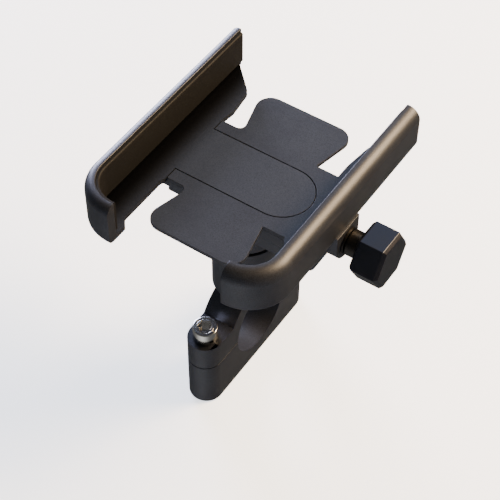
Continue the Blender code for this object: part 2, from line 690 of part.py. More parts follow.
def drive_block():
    """Brass nut block under the tongue, held by two screws from below."""
    x0, x1 = block_span()
    top = PLATE_TOP - JAW_FLOOR_THICKNESS - GAP
    low = block_low()
    half = BLOCK_HALF_WIDTH
    body = box(x0, x1, -half, half, low, top)
    cut(body, cylinder((x0 - 0.002, 0, SCREW_Z), (x1 + 0.002, 0, SCREW_Z),
                       SCREW_DIAMETER / 2 + GAP, 32))
    recess = low + SMALL_SCREW_HEAD_HEIGHT + 2 * GAP
    for x, y in block_screw_places():
        cut(body, cylinder((x, y, low - 0.001), (x, y, top + 0.001), SMALL_SCREW / 2 + GAP, 20),
            cylinder((x, y, low - 0.001), (x, y, recess), SMALL_SCREW_HEAD / 2 + GAP, 28))
    finish(body, "drive_block", BRASS)


def lead_screw():
    """Screw with the thick shaft outside the boss, which the knob is fixed to."""
    radius = SCREW_DIAMETER / 2
    collar = SCREW_COLLAR_DIAMETER / 2
    x0 = PLATE_SHIFT - NECK_END + 2.0 * MM
    washer_face = BOSS_FACE + GAP + THRUST_WASHER + GAP
    knob_back = washer_face + KNOB_STANDOFF
    body = cylinder((x0, 0, SCREW_Z), (washer_face + 0.001, 0, SCREW_Z), radius, 32)
    join(body, cylinder((washer_face, 0, SCREW_Z), (knob_back, 0, SCREW_Z), collar, 40),
         cylinder((knob_back - 0.001, 0, SCREW_Z),
                  (knob_back + KNOB_LENGTH - 3.0 * MM, 0, SCREW_Z), radius, 32))
    groove = clip_span()
    ring = cylinder((groove[0], 0, SCREW_Z), (groove[1], 0, SCREW_Z), radius + 0.002, 32)
    cut(ring, cylinder((groove[0] - 0.001, 0, SCREW_Z), (groove[1] + 0.001, 0, SCREW_Z),
                       radius - 0.6 * MM, 32))
    cut(body, ring)
    finish(body, "lead_screw", DARK_STEEL)


def clip_span():
    """Groove for the clip that keeps the screw in the channel body's end wall."""
    end = channel_ends()[1] - 4.0 * MM - GAP
    return end - CLIP_THICKNESS - GAP, end


def retaining_clip():
    """Split ring in the screw's groove, against the channel body's end wall."""
    x0, x1 = clip_span()
    x0 += GAP / 2
    x1 -= GAP / 2
    body = cylinder((x0, 0, SCREW_Z), (x1, 0, SCREW_Z), CLIP_DIAMETER / 2, 32)
    inner = SCREW_DIAMETER / 2 - 0.6 * MM + GAP
    cut(body, cylinder((x0 - 0.001, 0, SCREW_Z), (x1 + 0.001, 0, SCREW_Z), inner, 32),
        box(x0 - 0.001, x1 + 0.001, -1.6 * MM, 1.6 * MM, SCREW_Z, SCREW_Z + 0.01))
    finish(body, "retaining_clip", DARK_STEEL)


def thrust_washer():
    x0 = BOSS_FACE + GAP
    x1 = x0 + THRUST_WASHER
    body = cylinder((x0, 0, SCREW_Z), (x1, 0, SCREW_Z), SCREW_COLLAR_DIAMETER / 2 + 0.2 * MM, 40)
    cut(body, cylinder((x0 - 0.001, 0, SCREW_Z), (x1 + 0.001, 0, SCREW_Z),
                       SCREW_DIAMETER / 2 + GAP, 32))
    finish(body, "thrust_washer", DARK_STEEL)


def knob():
    """Hexagonal knob with chamfered rims and a blind hole for the screw's end."""
    x0 = BOSS_FACE + 2 * GAP + THRUST_WASHER + KNOB_STANDOFF + GAP
    x1 = x0 + KNOB_LENGTH
    radius = KNOB_FLATS / math.sqrt(3)
    body = cylinder((x0, 0, SCREW_Z), (x1, 0, SCREW_Z), radius, 6, math.radians(30))
    for face in (x0, x1):
        bevel_edges(body, KNOB_CHAMFER,
                    lambda a, b: abs(a.x - face) < SEAM and abs(b.x - face) < SEAM, 1)
    hole = KNOB_LENGTH - 3.0 * MM
    cut(body, cylinder((x0 - 0.002, 0, SCREW_Z), (x0 + hole, 0, SCREW_Z),
                       SCREW_DIAMETER / 2 + GAP, 32))
    finish(body, "knob", BLACK_ALUMINIUM)


# ---------------------------------------------------------------- small screws

def pan_screw(name, x, y, seat, tip):
    """Small pan-head screw that points up, its head below seat."""
    radius = SMALL_SCREW / 2
    head = SMALL_SCREW_HEAD / 2
    low = seat - SMALL_SCREW_HEAD_HEIGHT
    profile = [(0.0, tip), (radius, tip), (radius, seat), (head, seat),
               (head, low + 0.0004), (head - 0.0004, low), (0.0, low)]
    screw = turned(profile, x, y, 24)
    key = cylinder((0, 0, low - 0.001), (0, 0, low + 1.0 * MM), 2.0 * MM / math.sqrt(3), 6)
    key.location = (x, y, 0.0)
    cut(screw, key)
    finish(screw, name, STEEL)


def small_screws():
    seat = PLATE_TOP - CHANNEL_SIDE_DEPTH - GAP
    tip = PLATE_TOP - BLIND_COVER - GAP
    for i, (x, y) in enumerate(body_screw_places(), 1):
        pan_screw(f"body_screw_{i}", x, y, seat, tip)
    seat = block_low() + SMALL_SCREW_HEAD_HEIGHT + GAP
    for name, (x, y) in zip(("block_screw_near", "block_screw_far"), block_screw_places()):
        pan_screw(name, x, y, seat, tip)


def build():
    clamp_upper()
    clamp_lower()
    clamp_bolts()
    post()
    post_screw()
    swivel_pieces()
    base_frame()
    channel_body()
    moving_jaw()
    guide_rods()
    drive_block()
    lead_screw()
    retaining_clip()
    thrust_washer()
    knob()
    jaw_pad("moving_jaw_pad", -1, MOVING_WALL_FACE)
    jaw_pad("fixed_jaw_pad", 1, FIXED_WALL_FACE)
    small_screws()


build()
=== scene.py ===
"""Handlebar phone mount: detailed pieces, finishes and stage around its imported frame."""

import json
import math

import bmesh
import bpy
from bpy.props import FloatProperty, FloatVectorProperty, PointerProperty
from mathutils import Matrix, Vector


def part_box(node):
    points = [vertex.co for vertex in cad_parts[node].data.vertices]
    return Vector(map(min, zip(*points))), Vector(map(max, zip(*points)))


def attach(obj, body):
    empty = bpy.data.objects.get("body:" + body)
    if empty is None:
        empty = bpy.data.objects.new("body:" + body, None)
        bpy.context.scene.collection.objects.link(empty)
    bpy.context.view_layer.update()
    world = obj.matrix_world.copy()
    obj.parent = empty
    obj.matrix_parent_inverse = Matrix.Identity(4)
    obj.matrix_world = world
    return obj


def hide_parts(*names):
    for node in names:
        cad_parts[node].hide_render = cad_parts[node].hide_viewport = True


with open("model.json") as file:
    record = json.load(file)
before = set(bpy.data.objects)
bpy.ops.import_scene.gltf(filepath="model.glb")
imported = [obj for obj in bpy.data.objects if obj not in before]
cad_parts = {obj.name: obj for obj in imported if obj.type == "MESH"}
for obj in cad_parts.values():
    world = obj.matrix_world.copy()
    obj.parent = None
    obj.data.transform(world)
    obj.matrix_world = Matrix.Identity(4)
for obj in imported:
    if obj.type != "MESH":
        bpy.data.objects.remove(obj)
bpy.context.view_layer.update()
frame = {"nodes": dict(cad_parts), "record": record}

bl_info = {
    "name": "Handlebar Phone Mount",
    "version": (1, 0, 0),
    "blender": (4, 5, 0),
    "location": "View3D > Sidebar > Phone Mount",
    "description": "Builds the pieces, finishes and stage of a screw-driven phone mount",
    "category": "Object",
}

MM = 0.001
MOUNTS = {mount["name"]: Vector(mount["pos_m"]) for mount in frame["record"]["mounts"]}
SLOTS = {part["node"]: part["material_slot"] for part in frame["record"]["subparts"]}
PLATE_TOP = MOUNTS["phone_rest"].z
PLATE_MIDDLE = MOUNTS["phone_rest"].x
PLATE_BOSS_LOW = PLATE_TOP - 4.0 * MM   # underside of the plate's small screw bosses
GUIDE_RODS = ("guide_rod_near", "guide_rod_far")

PAST = 2 * MM            # how far a cutter runs past the face that it opens
INTO = 1 * MM            # how far two joined solids reach into each other
M3_WAY = 1.8 * MM        # radius of a clearance hole for an M3 screw
M6_RADIUS = 3.0 * MM
M6_TAP = 3.3 * MM        # radius of a hole that holds an M6 screw
M6_WAY = 3.4 * MM        # radius of a clearance hole for an M6 screw
M8_WAY = 4.3 * MM        # radius of a clearance hole for an M8 screw


# ---------------- sizes and colours

def size(name, default, description):
    """A length that a user can change, in metres."""
    return FloatProperty(name=name, default=default, description=description,
                         unit="LENGTH", min=0.0, precision=5)


class MountSizes(bpy.types.PropertyGroup):
    """Sizes that the frame's boxes don't give."""

    clearance: size("Clearance", 0.3 * MM, "Gap between pieces that rest on each other")
    fine_edge: size("Fine edge", 0.25 * MM, "Broken edge on machined and cast pieces")
    plate_thickness: size("Plate thickness", 1.6 * MM, "Thickness of the cradle plate")
    wing_half_width: size("Wing half width", 21.3 * MM, "From the plate's middle to a wing's side")
    wing_half_length: size("Wing half length", 39.2 * MM, "From the middle to a wing's end")
    wing_radius: size("Wing radius", 6.0 * MM, "Radius of a wing's corner")
    neck_half_width: size("Neck half width", 17.7 * MM, "Half the width of the plate's neck")
    neck_end: size("Neck end", 24.9 * MM, "From the plate's middle to the neck's open end")
    notch_left: size("Left notch", 15.6 * MM, "Where the wings start on the sliding jaw's side")
    notch_right: size("Right notch", 16.8 * MM, "Where the wings start on the knob's side")
    notch_radius: size("Notch radius", 2.4 * MM, "Radius at the root of the left notch")
    tongue_half_width: size("Tongue half width", 12.1 * MM, "Half the width of the jaw's tongue")
    jaw_height: size("Jaw height", 15.8 * MM, "Top of the jaws above the plate")
    jaw_floor: size("Jaw floor", 2.2 * MM, "Thickness of a jaw's floor")
    jaw_curl: size("Jaw curl", 16.8 * MM, "Outer radius of a jaw's hook")
    jaw_foot: size("Jaw foot", 1.8 * MM, "Rounding of a jaw's outer lower edge")
    hook_stop: size("Hook stop", 23.4 * MM, "From the plate's middle to a hook's end")
    moving_wall: size("Moving wall", 4.0 * MM, "Thickness of the sliding jaw's wall")
    fixed_wall: size("Fixed wall", 5.8 * MM, "Thickness of the fixed jaw's wall")
    boss_proud: size("Boss proud", 0.6 * MM, "How far the screw's boss stands out of the jaw")
    boss_radius: size("Boss radius", 7.4 * MM, "Half the width of the screw's boss")
    floor_corner: size("Floor corner", 30.0 * MM, "Where the floors' straight edge ends")
    clamp_ear: size("Ear height", 12.0 * MM, "Bolt seat above the bar's axis")
    clamp_wall: size("Clamp wall", 6.5 * MM, "Thickness of the arch over the bar")
    bar_diameter: size("Bar diameter", 31.8 * MM, "Diameter of the bore")
    channel_side: size("Channel side", 6.9 * MM, "Depth of the channel body's flanges")
    channel_core: size("Channel core", 20.5 * MM, "Depth of the channel body's core")
    core_half_width: size("Core half width", 11.6 * MM, "Half the width of that core")
    lug_x: size("Lug across", 9.0 * MM, "Screw lugs from the plate's middle, across the phone")
    lug_y: size("Lug along", 21.0 * MM, "Screw lugs from the middle, along the phone")
    lug_radius: size("Lug radius", 4.2 * MM, "Radius of a screw lug")
    thread_pitch: size("Thread pitch", 1.0 * MM, "Pitch of the lead screw")
    thread_depth: size("Thread depth", 0.45 * MM, "Depth of the lead screw's thread")


def colour(name, default, description):
    """A colour that a user can change, kept as linear light."""
    return FloatVectorProperty(name=name, default=default, description=description,
                               subtype="COLOR", size=3, min=0.0, max=1.0)


def linear(code):
    """Linear light from an sRGB hex colour such as #2b2d33."""
    parts = [int(code[i:i + 2], 16) / 255 for i in (1, 3, 5)]
    return tuple(p / 12.92 if p <= 0.04045 else ((p + 0.055) / 1.055) ** 2.4 for p in parts)


class MountColours(bpy.types.PropertyGroup):
    """Base colours of the finishes and of the stage's light."""

    anodised: colour("Anodised", linear("#2f3239"), "Dyed surface of the blasted aluminium")
    # Deeper dye tone in the random cloud; scaled to 8 % it is also the painted shade at the foot of
    # the sliding jaw's wall.
    anodised_deep_and_painted_shade: colour("Anodised deep", linear("#2a2c33"), "Where the dye took more strongly")
    machined: colour("Machined", linear("#262830"), "Dyed surface of the turned aluminium")
    stainless: colour("Stainless", linear("#d6d5d3"), "Polished stainless steel")
    oxide: colour("Black oxide", linear("#2c2b2a"), "Blackened steel")
    brass: colour("Brass", linear("#c8a765"), "Cut brass")
    rubber: colour("Rubber", linear("#131314"), "Moulded rubber of the jaw pads")
    nylon: colour("Nylon", linear("#2b2a2a"), "Nylon filled with molybdenum disulphide")
    floor: colour("Floor", linear("#f1f4fa"), "The pale floor")
    warm_light: colour("Warm light", linear("#ffdaa8"), "The lamp behind the knob's side")
    cool_light: colour("Cool light", linear("#dfe2ff"), "The lamp behind the sliding jaw")


# ---------------- modelling helpers

def deselect():
    if bpy.context.object and bpy.context.object.mode != "OBJECT":
        bpy.ops.object.mode_set(mode="OBJECT")
    bpy.ops.object.select_all(action="DESELECT")


def activate(obj):
    deselect()
    obj.select_set(True)
    bpy.context.view_layer.objects.active = obj


def added(name):
    """The object that a primitive operator has just made, under its own name."""
    obj = bpy.context.object
    obj.name = name
    obj.data.name = name
    return obj


def edit_all(obj):
    """Open a mesh in edit mode with everything selected."""
    activate(obj)
    bpy.ops.object.mode_set(mode="EDIT")
    bpy.ops.mesh.select_all(action="SELECT")


def settle_mesh(obj):
    """Put an object's place into its mesh, merge doubles and point its faces outward."""
    activate(obj)
    bpy.ops.object.transform_apply(location=True, rotation=True, scale=True)
    edit_all(obj)
    bpy.ops.mesh.remove_doubles(threshold=0.00001)
    bpy.ops.mesh.normals_make_consistent(inside=False)
    bpy.ops.object.mode_set(mode="OBJECT")
    return obj


def centre_of(node):
    """The middle of a CAD node's box."""
    return [(a + b) / 2 for a, b in zip(*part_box(node))]


def block(name, low, high):
    """A box between two corners."""
    deselect()
    low, high = Vector(low), Vector(high)
    bpy.ops.mesh.primitive_cube_add(size=1.0, location=(low + high) / 2)
    obj = added(name)
    obj.scale = high - low
    return settle_mesh(obj)


def rod(name, start, end, radius, sides=64, turn=0.0):
    """A round or many-sided bar between two points."""
    deselect()
    start, end = Vector(start), Vector(end)
    axis = end - start
    bpy.ops.mesh.primitive_cylinder_add(vertices=sides, radius=radius, depth=axis.length)
    obj = added(name)
    tilt = axis.to_track_quat("Z", "Y").to_matrix().to_4x4()
    obj.matrix_world = Matrix.Translation((start + end) / 2) @ tilt @ Matrix.Rotation(turn, 4, "Z")
    return settle_mesh(obj)


def arc(cx, cy, radius, start, end, steps):
    """Points on an arc, with its angles in degrees."""
    angles = [math.radians(start + (end - start) * i / steps) for i in range(steps + 1)]
    return [(cx + radius * math.cos(a), cy + radius * math.sin(a)) for a in angles]


def rounded(corners, steps=10):
    """Round each (x, y, radius) corner of a closed outline with an arc."""
    points = []
    for i, (x, y, radius) in enumerate(corners):
        corner = Vector((x, y))
        if radius <= 0:
            points.append((x, y))
            continue
        before = (Vector(corners[i - 1][:2]) - corner).normalized()
        after = (Vector(corners[(i + 1) % len(corners)][:2]) - corner).normalized()
        half = before.angle(after) / 2
        centre = corner + (before + after).normalized() * radius / math.sin(half)
        first = corner + before * radius / math.tan(half) - centre
        last = corner + after * radius / math.tan(half) - centre
        sweep = first.angle_signed(last)
        points += [tuple(centre + Matrix.Rotation(-sweep * k / steps, 2) @ first)
                   for k in range(steps + 1)]
    return points


FLAT = {
    "XY": Matrix.Identity(4),
    "XZ": Matrix(((1, 0, 0, 0), (0, 0, -1, 0), (0, 1, 0, 0), (0, 0, 0, 1))),
    "YZ": Matrix(((0, 0, 1, 0), (1, 0, 0, 0), (0, 1, 0, 0), (0, 0, 0, 1))),
}


def along(plane, distance):
    """A move at right angles to a plane of the frame."""
    return {"XY": (0, 0, distance), "XZ": (0, distance, 0), "YZ": (distance, 0, 0)}[plane]


def flat_face(name, points, plane="XY", level=0.0):
    """One flat face from an outline, laid in a plane of the frame."""
    curve = bpy.data.curves.new(name, "CURVE")
    curve.dimensions = "2D"
    curve.fill_mode = "BOTH"
    spline = curve.splines.new("POLY")
    spline.points.add(len(points) - 1)
    for point, (u, v) in zip(spline.points, points):
        point.co = (u, v, 0.0, 1.0)
    spline.use_cyclic_u = True
    obj = bpy.data.objects.new(name, curve)
    bpy.context.scene.collection.objects.link(obj)
    activate(obj)
    bpy.ops.object.convert(target="MESH")
    obj = bpy.context.object
    obj.matrix_world = Matrix.Translation(along(plane, level)) @ FLAT[plane]
    settle_mesh(obj)
    edit_all(obj)
    bpy.ops.mesh.dissolve_limited(angle_limit=math.radians(0.5))
    bpy.ops.object.mode_set(mode="OBJECT")
    return obj


def extruded(name, points, low, high, plane="XY"):
    """A flat outline with thickness, extruded from its face."""
    obj = flat_face(name, points, plane, low)
    edit_all(obj)
    bpy.ops.mesh.extrude_region_move(TRANSFORM_OT_translate={
        "value": along(plane, high - low)})
    close_ends()
    bpy.ops.object.mode_set(mode="OBJECT")
    return settle_mesh(obj)


def close_ends():
    """In edit mode, cover any open end that an extrusion left."""
    bpy.ops.mesh.select_mode(type="EDGE")
    bpy.ops.mesh.select_all(action="DESELECT")
    bpy.ops.mesh.select_non_manifold(extend=False, use_wire=False, use_multi_face=False,
                                     use_non_contiguous=False, use_verts=False)
    if any(edge.select for edge in bmesh.from_edit_mesh(bpy.context.object.data).edges):
        bpy.ops.mesh.edge_face_add()


def soften(obj, width, segments, chosen):
    """Bevel the edges for which chosen(edge) is true."""
    activate(obj)
    bpy.ops.object.mode_set(mode="EDIT")
    bpy.ops.mesh.select_mode(type="EDGE")
    bpy.ops.mesh.select_all(action="DESELECT")
    mesh = bmesh.from_edit_mesh(obj.data)
    for edge in mesh.edges:
        if chosen(edge):
            edge.select_set(True)
    bmesh.update_edit_mesh(obj.data)
    bpy.ops.mesh.bevel(offset=width, offset_type="OFFSET", segments=segments, profile=0.5,
                       affect="EDGES", clamp_overlap=True)
    bpy.ops.object.mode_set(mode="OBJECT")
    return obj


def sharp(edge, degrees=50.0):
    """True where two faces meet at a clear corner."""
    return len(edge.link_faces) == 2 and edge.calc_face_angle(0.0) > math.radians(degrees)


def on_plane(axis, level, limit=0.01 * MM, degrees=50.0):
    """Picks sharp edges whose ends both lie at one place along an axis."""
    return lambda edge: sharp(edge, degrees) and all(
        abs(getattr(v.co, axis) - level) < limit for v in edge.verts)


def at_height(level):
    return on_plane("z", level, 0.05 * MM)


def boolean(obj, operation, *tools):
    """Cut, join or intersect with other meshes, which are used up."""
    for tool in tools:
        activate(obj)
        modifier = obj.modifiers.new(operation, "BOOLEAN")
        modifier.operation = operation
        modifier.solver = "EXACT"
        modifier.object = tool
        bpy.ops.object.modifier_apply(modifier=modifier.name)
        bpy.data.objects.remove(tool, do_unlink=True)
    return obj


def break_edges(obj, width, segments=2, degrees=40.0):
    """Round every clear edge of a piece by a small width."""
    activate(obj)
    modifier = obj.modifiers.new("edges", "BEVEL")
    modifier.width = width
    modifier.segments = segments
    modifier.limit_method = "ANGLE"
    modifier.angle_limit = math.radians(degrees)
    modifier.use_clamp_overlap = True
    bpy.ops.object.modifier_apply(modifier=modifier.name)
    return obj


def finish_piece(obj, body, material, nodes, angle=32.0):
    """Shade a finished piece, give it its material and tie it to the frame."""
    settle_mesh(obj)
    bpy.ops.object.shade_smooth_by_angle(angle=math.radians(angle))
    weighted = obj.modifiers.new("flat faces", "WEIGHTED_NORMAL")
    weighted.keep_sharp = True
    bpy.ops.object.modifier_apply(modifier=weighted.name)
    obj.data.materials.clear()
    obj.data.materials.append(material)
    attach(obj, body)
    if nodes:
        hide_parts(*nodes)
    return obj


# ---------------- materials

def add(tree, kind, inputs=None, **settings):
    """Add one shader node with its settings, and fill or link its inputs."""
    made = tree.nodes.new(kind)
    for key, value in settings.items():
        setattr(made, key, value)
    for key, value in (inputs or {}).items():
        if isinstance(value, bpy.types.NodeSocket):
            tree.links.new(value, made.inputs[key])
        else:
            made.inputs[key].default_value = value
    return made


def new_material(name, base, metallic, roughness):
    """A material with its Principled shader, and the object's own coordinates."""
    material = bpy.data.materials.get(name)
    if material:
        bpy.data.materials.remove(material)
    material = bpy.data.materials.new(name)
    material.use_nodes = True
    tree = material.node_tree
    shader = tree.nodes["Principled BSDF"]
    shader.inputs["Base Color"].default_value = (*base, 1.0)
    shader.inputs["Metallic"].default_value = metallic
    shader.inputs["Roughness"].default_value = roughness
    place = add(tree, "ShaderNodeTexCoord").outputs["Object"]
    return material, tree, shader, place


def two_tone(tree, factor, first, second, low, high):
    """Mix two colours where a pattern runs from low to high."""
    ramp = add(tree, "ShaderNodeMapRange", {"Value": factor, "From Min": low, "From Max": high})
    mix = add(tree, "ShaderNodeMix", {"Factor": ramp.outputs["Result"]}, data_type="RGBA")
    mix.inputs["A"].default_value = (*first, 1.0)
    mix.inputs["B"].default_value = (*second, 1.0)
    return mix.outputs["Result"]


def varied(tree, factor, low, high):
    """A number that follows a pattern between two values."""
    ramp = add(tree, "ShaderNodeMapRange", {"Value": factor, "To Min": low, "To Max": high})
    return ramp.outputs["Result"]


def noise(tree, place, millimetres, detail):
    """Noise with features of about one size on the object."""
    made = add(tree, "ShaderNodeTexNoise", {"Vector": place, "Scale": 1 / (millimetres * MM),
                                            "Detail": detail})
    return made.outputs["Fac"]


def bumped(tree, shader, height, distance, strength):
    """Small relief that shows in the shading only."""
    bump = add(tree, "ShaderNodeBump",
               {"Height": height, "Distance": distance, "Strength": strength})
    tree.links.new(bump.outputs["Normal"], shader.inputs["Normal"])


def blasted(name, colours):
    """The grain of blasted and dyed aluminium, and the socket that takes its tone.

    Real blasting grain is about 0.05 mm. It is drawn at 0.35 mm, the finest that shows.
    """
    material, tree, shader, place = new_material(name, colours.anodised, 0.6, 0.42)
    grain = noise(tree, place, 0.35, 3.0)
    speck = two_tone(tree, grain, (0.55, 0.56, 0.58), (1.15, 1.15, 1.17), 0.3, 0.65)
    both = add(tree, "ShaderNodeMix", {"Factor": 1.0}, data_type="RGBA", blend_type="MULTIPLY")
    tree.links.new(speck, both.inputs["B"])
    tree.links.new(both.outputs["Result"], shader.inputs["Base Color"])
    tree.links.new(varied(tree, grain, 0.36, 0.50), shader.inputs["Roughness"])
    bumped(tree, shader, grain, 0.02 * MM, 0.35)
    return material, tree, shader, place, both.inputs["A"]


def blasted_anodised_aluminium(colours):
    """Die-cast aluminium, bead-blasted and dyed black: an even, fine-grained satin grey-black."""
    material, tree, _, place, tone = blasted("blasted_anodised_aluminium", colours)
    cloud = noise(tree, place, 14, 2.0)
    tree.links.new(two_tone(tree, cloud, colours.anodised, colours.anodised_deep_and_painted_shade, 0.35, 0.7), tone)
    return material


def floor_with_painted_wall_shade(colours):
    """The sliding jaw's floor: the same blasted aluminium, with painted shade darkening it toward
    the wall.

    The painted shade fades over 14 mm, and reaches the plate's own tone at the tongue.
    """
    material, tree, shader, place, tone = blasted("jaw_floor_painted_wall_shade", colours)
    parts = add(tree, "ShaderNodeSeparateXYZ", {"Vector": place})
    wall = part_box("moving_jaw_pad")[1].x
    # Mask of the painted shade: darkest at the wall's foot, gone 16 mm out from the wall.
    ramp = add(tree, "ShaderNodeMapRange",
               {"Value": parts.outputs["X"], "From Min": wall + 2 * MM, "From Max": wall + 16 * MM},
               interpolation_type="SMOOTHSTEP").outputs["Result"]
    # Painted shade: the deep tone darkened to 8 %, near black by the wall.
    painted_shade_tone = tuple(c * 0.08 for c in colours.anodised_deep_and_painted_shade)
    tree.links.new(two_tone(tree, ramp, painted_shade_tone, colours.anodised, 0.0, 1.0), tone)
    # The specular level also falls toward the wall, a painted dimming of its reflection.
    tree.links.new(varied(tree, ramp, 0.05, 0.5), shader.inputs["Specular IOR Level"])
    return material


def turned_anodised_aluminium(colours):
    """Aluminium turned or milled from bar, then dyed black: smoother, with faint tool lines.

    The feed marks are 0.25 mm apart, at right angles to the piece's axis.
    """
    material, tree, shader, place = new_material("turned_anodised_aluminium", colours.machined,
                                                 0.8, 0.32)
    lines = add(tree, "ShaderNodeTexWave", {"Vector": place, "Scale": 1 / (0.25 * MM) / 6.28,
                                            "Distortion": 0.6, "Detail": 1.0}, bands_direction="X")
    smear = noise(tree, place, 6, 4.0)
    tree.links.new(varied(tree, smear, 0.26, 0.40), shader.inputs["Roughness"])
    bumped(tree, shader, lines.outputs["Fac"], 0.006 * MM, 0.25)
    return material


def polished_stainless(colours):
    """Stainless steel bolts, turned and tumbled: bright, with fine rings and small scuffs."""
    material, tree, shader, place = new_material("polished_stainless_steel", colours.stainless,
                                                 1.0, 0.16)
    scuff = noise(tree, place, 0.8, 5.0)
    tree.links.new(varied(tree, scuff, 0.10, 0.26), shader.inputs["Roughness"])
    bumped(tree, shader, scuff, 0.01 * MM, 0.2)
    return material


def black_oxide_steel(colours):
    """Carbon steel with a black oxide film, oiled: dark, half glossy, slightly blotched."""
    material, tree, shader, place = new_material("black_oxide_steel", colours.oxide, 0.9, 0.3)
    blotch = noise(tree, place, 3, 4.0)
    warm = tuple(c * f for c, f in zip(colours.oxide, (1.35, 1.2, 1.05)))
    tree.links.new(two_tone(tree, blotch, colours.oxide, warm, 0.4, 0.7),
                   shader.inputs["Base Color"])
    tree.links.new(varied(tree, blotch, 0.22, 0.42), shader.inputs["Roughness"])
    return material


def cut_brass(colours):
    """Free-cutting brass, milled and left bare: yellow, with dull patches from handling."""
    material, tree, shader, place = new_material("cut_brass", colours.brass, 1.0, 0.28)
    film = noise(tree, place, 2.5, 4.0)
    dull = tuple(c * 0.7 for c in colours.brass)
    tree.links.new(two_tone(tree, film, colours.brass, dull, 0.45, 0.75),
                   shader.inputs["Base Color"])
    tree.links.new(varied(tree, film, 0.2, 0.42), shader.inputs["Roughness"])
    return material


def moulded_rubber(colours):
    """EPDM rubber, moulded against a spark-eroded tool: matt black with a fine pebble."""
    material, tree, shader, place = new_material("moulded_rubber", colours.rubber, 0.0, 0.55)
    shader.inputs["Specular IOR Level"].default_value = 0.1
    pebble = add(tree, "ShaderNodeTexVoronoi", {"Vector": place, "Scale": 1 / (0.45 * MM)})
    tree.links.new(varied(tree, pebble.outputs["Distance"], 0.48, 0.62), shader.inputs["Roughness"])
    bumped(tree, shader, pebble.outputs["Distance"], 0.03 * MM, 0.3)
    return material


def filled_nylon(colours):
    """Nylon filled with molybdenum disulphide, punched from sheet: dark grey and waxy."""
    material, tree, shader, place = new_material("filled_nylon", colours.nylon, 0.0, 0.45)
    haze = noise(tree, place, 2, 3.0)
    pale = tuple(c * 1.5 for c in colours.nylon)
    tree.links.new(two_tone(tree, haze, colours.nylon, pale, 0.45, 0.75),
                   shader.inputs["Base Color"])
    tree.links.new(varied(tree, haze, 0.38, 0.55), shader.inputs["Roughness"])
    return material


def pale_floor(colours):
    """Painted studio floor: matt, almost white, with a barely visible mottle."""
    material, tree, shader, place = new_material("painted_studio_floor", colours.floor, 0.0, 0.9)
    mottle = noise(tree, place, 60, 3.0)
    tree.links.new(varied(tree, mottle, 0.85, 0.95), shader.inputs["Roughness"])
    shader.inputs["Emission Color"].default_value = (*colours.floor, 1.0)
    shader.inputs["Emission Strength"].default_value = 2.0
    return material


MAKERS = {
    "black_aluminium": blasted_anodised_aluminium,
    "jaw_floor": floor_with_painted_wall_shade,
    "machined_aluminium": turned_anodised_aluminium,
    "bright_steel": polished_stainless,
    "dark_steel": black_oxide_steel,
    "brass": cut_brass,
    "pad_rubber": moulded_rubber,
    "white_nylon": filled_nylon,
    "floor": pale_floor,
}


def finish_of(slot):
    """The material of a slot, made when it is first asked for."""
    maker = MAKERS[slot]
    key = "made_" + slot
    name = bpy.context.scene.get(key)
    if name and name in bpy.data.materials:
        return bpy.data.materials[name]
    material = maker(bpy.context.scene.mount_colours)
    bpy.context.scene[key] = material.name
    return material


# ---------------- cradle: plate, jaws and pads

def plate_outline(s):
    """Four wings round a neck, which the tongue's slot opens on the sliding jaw's side."""
    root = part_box("fixed_jaw_pad")[0].x - PLATE_MIDDLE - 5.0 * MM
    neck = s.neck_half_width
    far = [(root, neck, 0), (s.notch_right, neck, 0.4 * MM),
           (s.wing_half_width, s.wing_half_length, s.wing_radius),
           (-s.wing_half_width, s.wing_half_length, s.wing_radius),
           (-s.notch_left, neck, s.notch_radius), (-s.neck_end, neck, 0.5 * MM)]
    near = [(x, -y, radius) for x, y, radius in reversed(far)]
    slot = s.tongue_half_width + s.clearance
    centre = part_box("moving_jaw")[1].x - PLATE_MIDDLE - s.tongue_half_width
    bay = [(-s.neck_end, slot)] + arc(centre, 0.0, slot, 90, -90, 36) + [(-s.neck_end, -slot)]
    corners = far + [(x, y, 0) for x, y in bay] + near
    return rounded([(x + PLATE_MIDDLE, y, radius) for x, y, radius in corners])


def wall_section(face, outer, low, high, foot, crown_out, crown_in):
    """A jaw wall's cross-section, with (x, z) points: rounded foot, broad crown and lip."""
    side = 1 if outer > face else -1
    turned = (lambda angle: angle) if side > 0 else (lambda angle: 180 - angle)
    section = [(face, low)]
    section += arc(outer - side * foot, low + foot, foot, turned(-90), turned(0), 8)
    section += arc(outer - side * crown_out, high - crown_out, crown_out, turned(0), turned(90), 16)
    section += arc(face + side * crown_in, high - crown_in, crown_in, turned(90), turned(180), 8)
    return section


def hooked_wall(name, section, side, outer, near, far, s, stop):
    """Extrude the section along the jaw, spin it round the hook and run it to the hook's end."""
    obj = flat_face(name, section, "XZ", far)
    curl_y = near + s.jaw_curl
    centre = (outer - side * s.jaw_curl, curl_y, 0.0)
    activate(obj)
    bpy.ops.object.mode_set(mode="EDIT")
    bpy.ops.mesh.select_mode(type="FACE")
    bpy.ops.mesh.select_all(action="SELECT")
    bpy.ops.mesh.extrude_region_move(TRANSFORM_OT_translate={"value": (0, curl_y - far, 0)})
    bpy.ops.mesh.spin(steps=24, angle=side * math.pi / 2, center=centre, axis=(0, 0, 1))
    bpy.ops.mesh.extrude_region_move(TRANSFORM_OT_translate={"value": (stop - centre[0], 0, 0)})
    close_ends()
    bpy.ops.object.mode_set(mode="OBJECT")
    settle_mesh(obj)
    lowest = min(v.co.y for v in obj.data.vertices)
    expected = near + min(abs(outer - x) for x, _ in section)
    if abs(lowest - expected) > 0.0002:
        raise RuntimeError(f"{name}: the hook ends at y={lowest:.4f}, not {expected:.4f}")
    return obj


